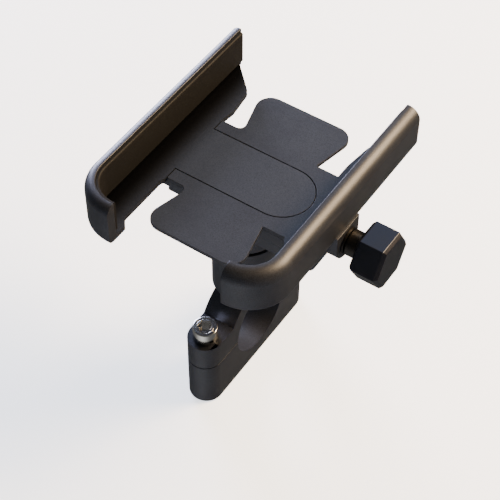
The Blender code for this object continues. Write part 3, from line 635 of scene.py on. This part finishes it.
def floor_plan(s, side, face, outer, edge, tip, near, far):
    """Plan outline of a jaw's floor, from the wall's middle to its inner edge."""
    wall = abs(outer - face)
    step_y = s.neck_half_width + 0.8 * MM
    hook = s.hook_stop
    corner = s.floor_corner
    middle = abs(face - PLATE_MIDDLE) + wall / 2
    inside = middle - wall / 2
    centre_x = abs(outer - PLATE_MIDDLE) - s.jaw_curl
    plan = rounded([
        (middle, far - 0.6 * MM, 0), (inside - 0.2 * MM, far - 1.6 * MM, 0),
        (tip + 1.5 * MM, corner + 6.0 * MM, 4.0 * MM), (tip, corner - 6.0 * MM, 4.0 * MM),
        (edge, step_y, 0), (edge, -step_y, 0), (tip + 1.6 * MM, -step_y - 2.0 * MM, 0.8 * MM),
        (tip + 1.6 * MM, near + 12.0 * MM, 0.8 * MM), (hook, near + 8.8 * MM, 0.8 * MM),
        (hook, near + wall / 2, 0), (centre_x, near + wall / 2, 0),
        (middle, near + s.jaw_curl, 0)])
    return [(PLATE_MIDDLE + side * x, y) for x, y in plan]


def cradle_frame(s):
    """Plate, fixed jaw and screw boss, joined as the one casting that they are."""
    box_low, box_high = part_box("base_frame")
    near = box_low.y
    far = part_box("moving_jaw")[1].y
    outer = box_high.x - s.boss_proud
    face = outer - s.fixed_wall
    high = PLATE_TOP + s.jaw_height
    low = PLATE_TOP - s.jaw_floor
    edge = face - PLATE_MIDDLE - 9.0 * MM

    section = wall_section(face, outer, low, high, s.jaw_foot, 5.2 * MM, 0.15 * MM)
    piece = hooked_wall("cradle_frame", section, 1, outer, near, far, s, PLATE_MIDDLE + s.hook_stop)
    soften(piece, s.fine_edge, 2, on_plane("x", PLATE_MIDDLE + s.hook_stop, 0.02 * MM, 60))
    plan = floor_plan(s, 1, face, outer, edge, edge, near, far)
    jaw_floor = extruded("jaw_floor", plan, low + 0.03 * MM, PLATE_TOP - 0.03 * MM)

    plate = extruded("plate", plate_outline(s), PLATE_TOP - s.plate_thickness, PLATE_TOP)
    soften(plate, s.fine_edge * 0.8, 2, lambda e: sharp(e) and (
        abs(e.verts[0].co.z - e.verts[1].co.z) < 0.00001))

    screw_z = centre_of("lead_screw")[2]
    washer_low, washer_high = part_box("thrust_washer")
    bore = (washer_high.z - washer_low.z) / 2 * 0.66
    boss_outline = [(s.boss_radius, low + 1.0 * MM), (-s.boss_radius, low + 1.0 * MM)]
    boss_outline += arc(0.0, screw_z, s.boss_radius, 180, 360, 32)
    boss = extruded("boss", boss_outline, box_high.x - s.fixed_wall, box_high.x, "YZ")
    soften(boss, 0.15 * MM, 2, on_plane("x", box_high.x))
    boolean(piece, "UNION", jaw_floor, plate, boss)
    hole = rod("hole", (box_high.x - 0.02, 0, screw_z), (box_high.x + 0.01, 0, screw_z), bore, 48)
    boolean(piece, "DIFFERENCE", hole)
    plate_low = PLATE_TOP - s.plate_thickness
    for x, y in lug_places(s):
        boolean(piece, "UNION", rod("raised", (x, y, PLATE_BOSS_LOW),
                                    (x, y, plate_low + 0.5 * MM), 3.4 * MM, 40))
        boolean(piece, "DIFFERENCE", rod("tap", (x, y, PLATE_BOSS_LOW - INTO),
                                         (x, y, PLATE_TOP - 0.6 * MM), M3_WAY, 28))
    return finish_piece(piece, "head", finish_of("black_aluminium"), ["base_frame"])


def lug_places(s):
    return [(PLATE_MIDDLE + side_x * s.lug_x, side_y * s.lug_y)
            for side_x in (-1, 1) for side_y in (-1, 1)]


def sliding_jaw(s):
    """Hooked wall, floor, round-ended tongue and guide-rod knuckles of the sliding jaw."""
    box_low, box_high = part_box("moving_jaw")
    near, far = box_low.y, box_high.y
    outer = box_low.x
    face = outer + s.moving_wall
    high = PLATE_TOP + s.jaw_height
    low = PLATE_TOP - s.jaw_floor
    section = wall_section(face, outer, low, high, s.jaw_foot, 3.6 * MM, 0.3 * MM)
    piece = hooked_wall("sliding_jaw", section, -1, outer, near, far, s, PLATE_MIDDLE - s.hook_stop)
    soften(piece, s.fine_edge, 2, on_plane("x", PLATE_MIDDLE - s.hook_stop, 0.02 * MM, 60))

    edge = s.neck_end + s.clearance
    plan = floor_plan(s, -1, face, outer, edge, edge - 0.8 * MM, near, far)
    jaw_floor = extruded("jaw_floor", plan, low + 0.03 * MM, PLATE_TOP - 0.03 * MM)
    end = box_high.x - s.tongue_half_width
    start = PLATE_MIDDLE - edge - 2.0 * MM
    half = s.tongue_half_width
    outline = arc(end, 0.0, half, -90, 90, 36) + [(start, half), (start, -half)]
    tongue = extruded("tongue", outline, low + 0.06 * MM, PLATE_TOP)
    soften(tongue, s.fine_edge * 0.5, 2, at_height(PLATE_TOP))
    boolean(piece, "UNION", jaw_floor, tongue)

    for node in GUIDE_RODS:
        y, z = centre_of(node)[1:]
        x0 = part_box(node)[0].x - 1.8 * MM
        x1 = PLATE_MIDDLE - s.neck_end - s.clearance
        knuckle = rod("knuckle", (x0, y, z), (x1, y, z), 2.4 * MM, 40)
        web = block("web", (x0, y - 2.4 * MM, z), (x1, y + 2.4 * MM, low + INTO))
        socket = rod("socket", (x0 + 1.5 * MM, y, z), (x1 + PAST, y, z), 1.8 * MM, 32)
        boolean(piece, "UNION", web, knuckle)
        boolean(piece, "DIFFERENCE", socket)
    finish_piece(piece, "jaw", finish_of("black_aluminium"), ["moving_jaw"])
    # The floor's top faces take the finish with painted shade toward the wall.
    piece.data.materials.append(finish_of("jaw_floor"))
    for polygon in piece.data.polygons:
        middle = polygon.center
        if polygon.normal.z > 0.9 and abs(middle.z - PLATE_TOP) < 0.1 * MM and middle.x > face:
            polygon.material_index = 1
    return piece


def fixed_jaw_strip():
    """Rubber strip with a rounded crown and ends, flat on its gripping face."""
    low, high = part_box("fixed_jaw_pad")
    piece = block("fixed_jaw_strip", low, high)
    soften(piece, 0.9 * MM, 4, lambda e: sharp(e) and all(
        abs(v.co.x - low.x) < 0.00001 for v in e.verts) and e.verts[0].co.z + e.verts[1].co.z
        > low.z + high.z - 0.0001)
    return finish_piece(piece, "head", finish_of("pad_rubber"), ["fixed_jaw_pad"], 40.0)


def sliding_jaw_strip(s):
    """Rubber liner of the sliding jaw, which follows the wall round the hook."""
    low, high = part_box("moving_jaw_pad")
    outer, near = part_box("moving_jaw")[0].x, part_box("moving_jaw")[0].y
    wall = outer + s.moving_wall
    top = PLATE_TOP + s.jaw_height - 0.7 * MM
    crown = 0.8 * MM
    section = [(wall, low.z), (high.x, low.z),
               *arc(high.x - crown, top - crown, crown, 0, 90, 8), (wall, top)]
    stop = PLATE_MIDDLE - s.hook_stop - 0.6 * MM
    piece = hooked_wall("sliding_jaw_strip", section, -1, outer, near, high.y, s, stop)
    return finish_piece(piece, "jaw", finish_of("pad_rubber"), ["moving_jaw_pad"], 40.0)


# ---------------- channel body, screw and knob

def under_body(s):
    """Channel body: flanges, deep core, screw lugs, and the round hub over the post."""
    low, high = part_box("channel_body")
    top = PLATE_TOP - s.plate_thickness - s.clearance
    side_low = PLATE_TOP - s.channel_side
    core_low = PLATE_TOP - s.channel_core
    half = s.neck_half_width - 0.2 * MM
    flange_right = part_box("fixed_jaw_pad")[0].x - 8.1 * MM
    hub_low, hub_radius = low.z, (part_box("post")[1].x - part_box("post")[0].x) / 2
    piece = block("under_body", (low.x, -half, side_low), (flange_right, half, top))
    soften(piece, 0.6 * MM, 3, lambda e: sharp(e) and (
        e.verts[0].co.z + e.verts[1].co.z < 2 * side_low + 0.1 * MM))
    core = block("core", (low.x + 0.1 * MM, -s.core_half_width, core_low),
                 (high.x, s.core_half_width, PLATE_TOP - s.jaw_floor - s.clearance))
    soften(core, 5.0 * MM, 4, lambda e: sharp(e) and all(
        abs(v.co.x - high.x) < 0.00001 and abs(v.co.z - core_low) < 0.00001 for v in e.verts))
    soften(core, 1.2 * MM, 4, at_height(core_low))
    hub = rod("hub", (0, 0, hub_low), (0, 0, side_low + INTO), hub_radius, 96)
    soften(hub, 0.2 * MM, 2, at_height(hub_low))
    boolean(piece, "UNION", core, hub)
    lug_top = PLATE_BOSS_LOW - s.clearance
    for x, y in lug_places(s):
        inner = math.copysign(half - 0.6 * MM, y)
        web = block("web", (x - s.lug_radius, min(inner, y), side_low + 0.04 * MM),
                    (x + s.lug_radius, max(inner, y), lug_top - 0.04 * MM))
        lug = rod("lug", (x, y, side_low + 0.02 * MM), (x, y, lug_top), s.lug_radius, 40)
        boolean(piece, "UNION", web, lug)
        boolean(piece, "DIFFERENCE", rod("way", (x, y, side_low - PAST), (x, y, lug_top + INTO),
                                         M3_WAY, 28))
    wall = 4.0 * MM
    block_low, block_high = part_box("drive_block")
    pocket_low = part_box("swivel_bolt")[1].z + s.clearance
    play = 0.4 * MM
    pocket = block("pocket", (low.x - INTO, block_low.y - play, pocket_low),
                   (high.x - wall, block_high.y + play, PLATE_TOP))
    slide_half = s.tongue_half_width + 0.6 * MM
    slide = block("slide", (low.x - INTO, -slide_half, PLATE_TOP - s.jaw_floor - 0.6 * MM),
                  (flange_right + INTO, slide_half, PLATE_TOP))
    screw_z = centre_of("lead_screw")[2]
    bore = rod("bore", (high.x - wall - PAST, 0, screw_z), (high.x + PAST, 0, screw_z), M6_WAY, 40)
    washer_low, washer_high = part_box("wave_washer")
    bolt_way = rod("bolt_way", (0, 0, hub_low - PAST), (0, 0, pocket_low + INTO), M8_WAY, 40)
    head_way = rod("head_way", (0, 0, washer_low.z - s.clearance), (0, 0, pocket_low + INTO),
                   washer_high.x + play, 64)
    boolean(piece, "DIFFERENCE", pocket, slide, bore, bolt_way, head_way)
    for node in GUIDE_RODS:
        y, z = centre_of(node)[1:]
        way = rod("way", (low.x - PAST, y, z), (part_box(node)[1].x + 1.5 * MM, y, z), 1.9 * MM, 28)
        boolean(piece, "DIFFERENCE", way)
    return finish_piece(piece, "head", finish_of("black_aluminium"), ["channel_body"])


def threaded_rod(name, start, end, z, radius, s):
    """A helical thread: one tooth's outline, turned and climbed by a Screw modifier."""
    turns = int((end - start) / s.thread_pitch)
    deselect()
    bpy.ops.mesh.primitive_plane_add(size=1.0)
    obj = added(name)
    bpy.ops.object.mode_set(mode="EDIT")
    bpy.ops.mesh.select_mode(type="VERT")
    bpy.ops.mesh.select_all(action="SELECT")
    bpy.ops.mesh.merge(type="CENTER")
    bpy.ops.mesh.select_all(action="SELECT")
    bpy.ops.transform.translate(value=(radius - s.thread_depth, 0, 0))
    bpy.ops.mesh.extrude_region_move(TRANSFORM_OT_translate={
        "value": (s.thread_depth, 0, s.thread_pitch / 2)})
    bpy.ops.mesh.extrude_region_move(TRANSFORM_OT_translate={
        "value": (-s.thread_depth, 0, s.thread_pitch / 2)})
    bpy.ops.object.mode_set(mode="OBJECT")
    turn = obj.modifiers.new("thread", "SCREW")
    turn.axis = "Z"
    turn.angle = math.tau
    turn.screw_offset = s.thread_pitch
    turn.iterations = turns
    turn.steps = 32
    turn.render_steps = 32
    turn.use_merge_vertices = True
    turn.merge_threshold = 0.000005
    bpy.ops.object.modifier_apply(modifier=turn.name)
    obj.matrix_world = Matrix.Translation((start, 0, z)) @ Matrix.Rotation(math.pi / 2, 4, "Y")
    settle_mesh(obj)
    activate(obj)
    bpy.ops.object.mode_set(mode="EDIT")
    close_ends()
    bpy.ops.object.mode_set(mode="OBJECT")
    return obj


def lead_screw_pieces(s):
    """Smooth shaft with collar and clip groove, and the threaded stretch under the tongue."""
    low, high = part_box("lead_screw")
    z = centre_of("lead_screw")[2]
    collar = (high.z - low.z) / 2
    clip_low, clip_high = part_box("retaining_clip")
    washer_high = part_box("thrust_washer")[1]
    knob_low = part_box("knob")[0]
    thread_end = clip_low.x - 1.5 * MM
    radius = M6_RADIUS

    shaft = rod("screw_shaft", (thread_end - 0.5 * MM, 0, z), (high.x, 0, z), radius, 64)
    sleeve = rod("sleeve", (washer_high.x + s.clearance, 0, z), (knob_low.x - s.clearance, 0, z),
                 collar, 80)
    soften(sleeve, 0.4 * MM, 3, sharp)
    boolean(shaft, "UNION", sleeve)
    ring = rod("ring", (clip_low.x - 0.15 * MM, 0, z), (clip_high.x + 0.15 * MM, 0, z),
               5.0 * MM, 48)
    core = rod("core", (clip_low.x - INTO, 0, z), (clip_high.x + INTO, 0, z), 2.4 * MM, 48)
    boolean(ring, "DIFFERENCE", core)
    boolean(shaft, "DIFFERENCE", ring)
    finish_piece(shaft, "knob", finish_of("dark_steel"), ["lead_screw"])

    thread = threaded_rod("screw_thread", low.x, thread_end, z, radius, s)
    finish_piece(thread, "knob", finish_of("dark_steel"), [], 50.0)


def hex_knob():
    """Hexagonal knob: bar stock with both rims chamfered, and a blind tapped hole from its inner
    face.
    """
    low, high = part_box("knob")
    flats = high.z - low.z
    z = (low.z + high.z) / 2
    corner = flats / math.sqrt(3)
    piece = rod("hex_knob", (low.x, 0, z), (high.x, 0, z), corner, 6, math.radians(30))
    if (max(v.co.z for v in piece.data.vertices) - z) > flats / 2 + 0.0001:
        raise RuntimeError("hex_knob: a corner points up, where a flat should")
    for face in (low.x, high.x):
        soften(piece, 1.2 * MM, 1, on_plane("x", face, 0.02 * MM))
    break_edges(piece, 0.15 * MM, 2, 20.0)
    hole = rod("hole", (low.x - PAST, 0, z), (high.x - 3.0 * MM, 0, z), M6_TAP, 48)
    boolean(piece, "DIFFERENCE", hole)
    return finish_piece(piece, "knob", finish_of("machined_aluminium"), ["knob"], 20.0)


# ---------------- clamp, bolts and post

def clamp_section(s, split, flank, crown):
    """(y, z) outline of the upper half: ear, arch and flat crown, mirrored at its middle."""
    arch = s.bar_diameter / 2 + s.clamp_wall
    start = math.degrees(math.asin(s.clamp_ear / arch))
    stop = math.degrees(math.asin(crown / arch))
    right = [(flank, split), (flank, s.clamp_ear), *arc(0.0, 0.0, arch, start, stop, 16)]
    return right + [(-y, z) for y, z in reversed(right)]


def obround(half_spacing, radius, steps=24):
    return (arc(0.0, half_spacing, radius, 0, 180, steps)
            + arc(0.0, -half_spacing, radius, 180, 360, steps))


def clamp_halves(s):
    """Arch and lower half of the bar clamp, with spot-faced bolt seats and the bore."""
    low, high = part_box("clamp_upper")
    bolt_low, bolt_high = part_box("clamp_bolt_far")
    spacing = centre_of("clamp_bolt_far")[1]
    radius = (high.x - low.x) / 2
    bar = s.bar_diameter / 2
    spot = (bolt_high.x - bolt_low.x) / 2 + 2.2 * MM

    section = clamp_section(s, low.z, high.y + 2 * radius, high.z)
    upper = extruded("clamp_arch", section, low.x, high.x, "YZ")
    boolean(upper, "INTERSECT", extruded("plan", obround(spacing, radius), -INTO, high.z + INTO))
    boolean(upper, "DIFFERENCE", rod("bar", (-0.02, 0, 0), (0.02, 0, 0), bar, 128))
    for y in (-spacing, spacing):
        seat = rod("seat", (0, y, s.clamp_ear), (0, y, 0.03), spot, 72)
        way = rod("way", (0, y, -PAST), (0, y, 0.03), M6_WAY, 40)
        boolean(upper, "DIFFERENCE", seat, way)
    screw_low, screw_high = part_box("post_screw")
    head = (screw_high.x - screw_low.x) / 2 + 0.7 * MM
    sink = [rod("sink", (0, 0, bar - 0.004), (0, 0, 0.03), M6_TAP, 40),
            rod("sink_head", (0, 0, bar - 0.004), (0, 0, bar + 1.2 * MM), head, 48)]
    boolean(upper, "DIFFERENCE", *sink)
    break_edges(upper, s.fine_edge * 0.6, 2, 40.0)
    finish_piece(upper, "clamp", finish_of("black_aluminium"), ["clamp_upper"], 28.0)

    low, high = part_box("clamp_lower")
    lower = extruded("clamp_saddle", obround(spacing, radius), low.z, high.z)
    soften(lower, 1.2 * MM, 4, at_height(low.z))
    soften(lower, s.fine_edge * 0.6, 2, at_height(high.z))
    boolean(lower, "DIFFERENCE", rod("bar", (-0.02, 0, 0), (0.02, 0, 0), bar, 128))
    for y in (-spacing, spacing):
        way = rod("way", (0, y, bolt_low.z - 1.0 * MM), (0, y, PAST), M6_WAY, 40)
        boolean(lower, "DIFFERENCE", way)
    finish_piece(lower, "clamp_lower", finish_of("black_aluminium"), ["clamp_lower"], 28.0)


def clamp_bolt(node, name, body):
    """Socket-head bolt: chamfered and slightly dished head, hexagonal socket, plain shank."""
    low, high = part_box(node)
    x, y = centre_of(node)[:2]
    head = (high.x - low.x) / 2
    shank = M6_RADIUS
    seat = high.z - 2 * shank
    socket = 2.5 * MM / math.cos(math.radians(30))
    bolt = rod(name, (x, y, seat), (x, y, high.z), head, 80)
    soften(bolt, 0.55 * MM, 3, at_height(high.z))
    soften(bolt, 0.2 * MM, 2, at_height(seat))
    key = rod("key", (x, y, high.z - 3.0 * MM), (x, y, high.z + PAST), socket, 6)
    dish = rod("dish", (x, y, high.z - 0.22 * MM), (x, y, high.z + PAST), head - 0.95 * MM, 64)
    land = rod("land", (x, y, high.z - 0.5 * MM), (x, y, high.z - 0.03 * MM),
               socket + 0.55 * MM, 48)
    soften(land, 0.15 * MM, 2, at_height(high.z - 0.03 * MM))
    stem = rod("stem", (x, y, low.z), (x, y, seat + 0.5 * MM), shank, 48)
    soften(stem, 0.5 * MM, 2, at_height(low.z))
    boolean(bolt, "DIFFERENCE", dish)
    boolean(bolt, "UNION", stem, land)
    boolean(bolt, "DIFFERENCE", key)
    soften(bolt, 0.18 * MM, 1, on_plane("z", high.z - 0.03 * MM))
    return finish_piece(bolt, body, finish_of("bright_steel"), [node], 30.0)


def round_post():
    """The post: turned bar with broken rims, bored from both ends."""
    low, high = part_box("post")
    radius = (high.x - low.x) / 2
    piece = rod("round_post", (0, 0, low.z), (0, 0, high.z), radius, 128)
    soften(piece, 0.2 * MM, 2, sharp)
    bolt_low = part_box("swivel_bolt")[0].z
    upper = rod("upper", (0, 0, bolt_low - 1.5 * MM), (0, 0, high.z + PAST), M8_WAY, 48)
    lower = rod("lower", (0, 0, low.z - PAST), (0, 0, bolt_low), M6_TAP, 48)
    boolean(piece, "DIFFERENCE", upper, lower)
    return finish_piece(piece, "clamp", finish_of("black_aluminium"), ["post"])


# ---------------- stage

def aim(obj, target):
    direction = Vector(target) - obj.location
    obj.rotation_euler = direction.to_track_quat("-Z", "Y").to_euler()


def softbox(name, place, target, width, height, power, tint):
    """A rectangular lamp that points at the object."""
    deselect()
    bpy.ops.object.light_add(type="AREA", location=place)
    lamp = bpy.context.object
    lamp.name = name
    lamp.data.shape = "RECTANGLE"
    lamp.data.size = width
    lamp.data.size_y = height
    lamp.data.energy = power
    lamp.data.color = tint
    aim(lamp, target)
    return lamp


def studio_world():
    """Dim surround behind the object, lighter in front, as in a studio with its walls masked."""
    world = bpy.context.scene.world or bpy.data.worlds.new("studio")
    bpy.context.scene.world = world
    world.use_nodes = True
    tree = world.node_tree
    background = tree.nodes["Background"]
    direction = add(tree, "ShaderNodeTexCoord").outputs["Generated"]
    toward = add(tree, "ShaderNodeVectorMath", {0: direction, 1: (0.1, -0.75, -0.65)},
                 operation="DOT_PRODUCT").outputs["Value"]
    facing = add(tree, "ShaderNodeMath", {0: toward, 1: 0.0}, operation="MAXIMUM").outputs["Value"]
    narrow = add(tree, "ShaderNodeMath", {0: facing, 1: 8.0}, operation="POWER").outputs["Value"]
    tree.links.new(varied(tree, narrow, 0.15, 1.2), background.inputs["Strength"])
    background.inputs["Color"].default_value = (1.0, 0.98, 0.95, 1.0)


def build_stage(colours):
    """Floor, world, lamps and camera."""
    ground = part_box("clamp_lower")[0].z - 0.05 * MM
    deselect()
    bpy.ops.mesh.primitive_plane_add(size=6.0, location=(0, 0, ground))
    floor = settle_mesh(added("studio_floor"))
    floor.data.materials.append(finish_of("floor"))
    floor.visible_glossy = False

    studio_world()
    centre = Vector((PLATE_MIDDLE, 0.0, PLATE_TOP))
    for name, offset, width, height, power, tint in (
            ("back_right", (0.46, 0.49, 0.58), 0.42, 0.42, 38.0, colours.warm_light),
            ("back_left", (-0.76, 0.46, 0.14), 0.4, 0.6, 26.0, colours.cool_light),
            ("back_top", (-0.2, 0.62, 0.75), 0.7, 0.5, 2.6, (0.5, 0.7, 1.0))):
        softbox(name, centre + Vector(offset), centre, width, height, power, tint)
    add_camera(centre)


def add_camera(centre):
    """The camera, by its direction from the plate's middle, its roll and its distance."""
    azimuth, elevation, roll = math.radians(33.61), math.radians(49.81), math.radians(0.52)
    distance = 0.520
    aside, above = -0.48 * MM, -26.69 * MM
    back = Vector((math.sin(azimuth) * math.cos(elevation),
                   -math.cos(azimuth) * math.cos(elevation), math.sin(elevation)))
    level = Vector((math.cos(azimuth), math.sin(azimuth), 0.0))
    tilt = back.cross(level)
    right = level * math.cos(roll) + tilt * math.sin(roll)
    up = tilt * math.cos(roll) - level * math.sin(roll)
    data = bpy.data.cameras.new("camera")
    data.sensor_width = 36.0
    data.lens = 103.5
    camera = bpy.data.objects.new("camera", data)
    bpy.context.scene.collection.objects.link(camera)
    place = Matrix((right, up, back)).transposed().to_4x4()
    place.translation = centre + right * aside + up * above + back * distance
    camera.matrix_world = place
    bpy.context.scene.camera = camera


# ---------------- operators and panel

class MOUNT_OT_cradle(bpy.types.Operator):
    """Build the cradle plate with its fixed jaw"""
    bl_idname = "mount.cradle"
    bl_label = "Cradle frame"

    def execute(self, context):
        cradle_frame(context.scene.mount_sizes)
        return {"FINISHED"}


class MOUNT_OT_sliding_jaw(bpy.types.Operator):
    """Build the sliding jaw with its floor and tongue"""
    bl_idname = "mount.sliding_jaw"
    bl_label = "Sliding jaw"

    def execute(self, context):
        sliding_jaw(context.scene.mount_sizes)
        return {"FINISHED"}


class MOUNT_OT_pads(bpy.types.Operator):
    """Build the rubber strips inside both jaws"""
    bl_idname = "mount.pads"
    bl_label = "Jaw pads"

    def execute(self, context):
        sliding_jaw_strip(context.scene.mount_sizes)
        fixed_jaw_strip()
        return {"FINISHED"}


class MOUNT_OT_under_body(bpy.types.Operator):
    """Build the channel body with its hub and lugs"""
    bl_idname = "mount.under_body"
    bl_label = "Channel body"

    def execute(self, context):
        under_body(context.scene.mount_sizes)
        return {"FINISHED"}


class MOUNT_OT_screw(bpy.types.Operator):
    """Build the lead screw's shaft and thread"""
    bl_idname = "mount.screw"
    bl_label = "Lead screw"

    def execute(self, context):
        lead_screw_pieces(context.scene.mount_sizes)
        return {"FINISHED"}


class MOUNT_OT_knob(bpy.types.Operator):
    """Build the hexagonal knob"""
    bl_idname = "mount.knob"
    bl_label = "Knob"

    def execute(self, context):
        hex_knob()
        return {"FINISHED"}


class MOUNT_OT_clamp(bpy.types.Operator):
    """Build both halves of the bar clamp"""
    bl_idname = "mount.clamp"
    bl_label = "Bar clamp"

    def execute(self, context):
        clamp_halves(context.scene.mount_sizes)
        return {"FINISHED"}


class MOUNT_OT_bolts(bpy.types.Operator):
    """Build the two clamp bolts"""
    bl_idname = "mount.bolts"
    bl_label = "Clamp bolts"

    def execute(self, context):
        clamp_bolt("clamp_bolt_near", "near_bolt", "bolt_near")
        clamp_bolt("clamp_bolt_far", "far_bolt", "bolt_far")
        return {"FINISHED"}


class MOUNT_OT_post(bpy.types.Operator):
    """Build the post between the clamp and the head"""
    bl_idname = "mount.post"
    bl_label = "Post"

    def execute(self, context):
        round_post()
        return {"FINISHED"}


class MOUNT_OT_finishes(bpy.types.Operator):
    """Give each frame part that still shows its own finish"""
    bl_idname = "mount.finishes"
    bl_label = "Finishes"

    def execute(self, context):
        for name, part in frame["nodes"].items():
            part.data.materials.clear()
            part.data.materials.append(finish_of(SLOTS[name]))
        return {"FINISHED"}


class MOUNT_OT_stage(bpy.types.Operator):
    """Build the floor, the lamps and the camera"""
    bl_idname = "mount.stage"
    bl_label = "Stage"

    def execute(self, context):
        build_stage(context.scene.mount_colours)
        return {"FINISHED"}


STEPS = (MOUNT_OT_cradle, MOUNT_OT_sliding_jaw, MOUNT_OT_pads, MOUNT_OT_under_body, MOUNT_OT_screw,
         MOUNT_OT_knob, MOUNT_OT_clamp, MOUNT_OT_bolts, MOUNT_OT_post, MOUNT_OT_finishes,
         MOUNT_OT_stage)


class MOUNT_PT_sidebar(bpy.types.Panel):
    """Lists the steps that build the phone mount"""
    bl_idname = "MOUNT_PT_sidebar"
    bl_label = "Phone Mount"
    bl_space_type = "VIEW_3D"
    bl_region_type = "UI"
    bl_category = "Phone Mount"

    def draw(self, context):
        for step in STEPS:
            self.layout.operator(step.bl_idname)
        for group in (context.scene.mount_sizes, context.scene.mount_colours):
            for key in group.__annotations__:
                self.layout.prop(group, key)


CLASSES = (MountSizes, MountColours, *STEPS, MOUNT_PT_sidebar)


def register():
    for cls in CLASSES:
        bpy.utils.register_class(cls)
    bpy.types.Scene.mount_sizes = PointerProperty(type=MountSizes)
    bpy.types.Scene.mount_colours = PointerProperty(type=MountColours)


def unregister():
    del bpy.types.Scene.mount_colours
    del bpy.types.Scene.mount_sizes
    for cls in reversed(CLASSES):
        bpy.utils.unregister_class(cls)


def main():
    register()
    for step in STEPS:
        group, name = step.bl_idname.split(".")
        getattr(getattr(bpy.ops, group), name)()
    bpy.context.view_layer.update()


if __name__ == "__main__":
    main()
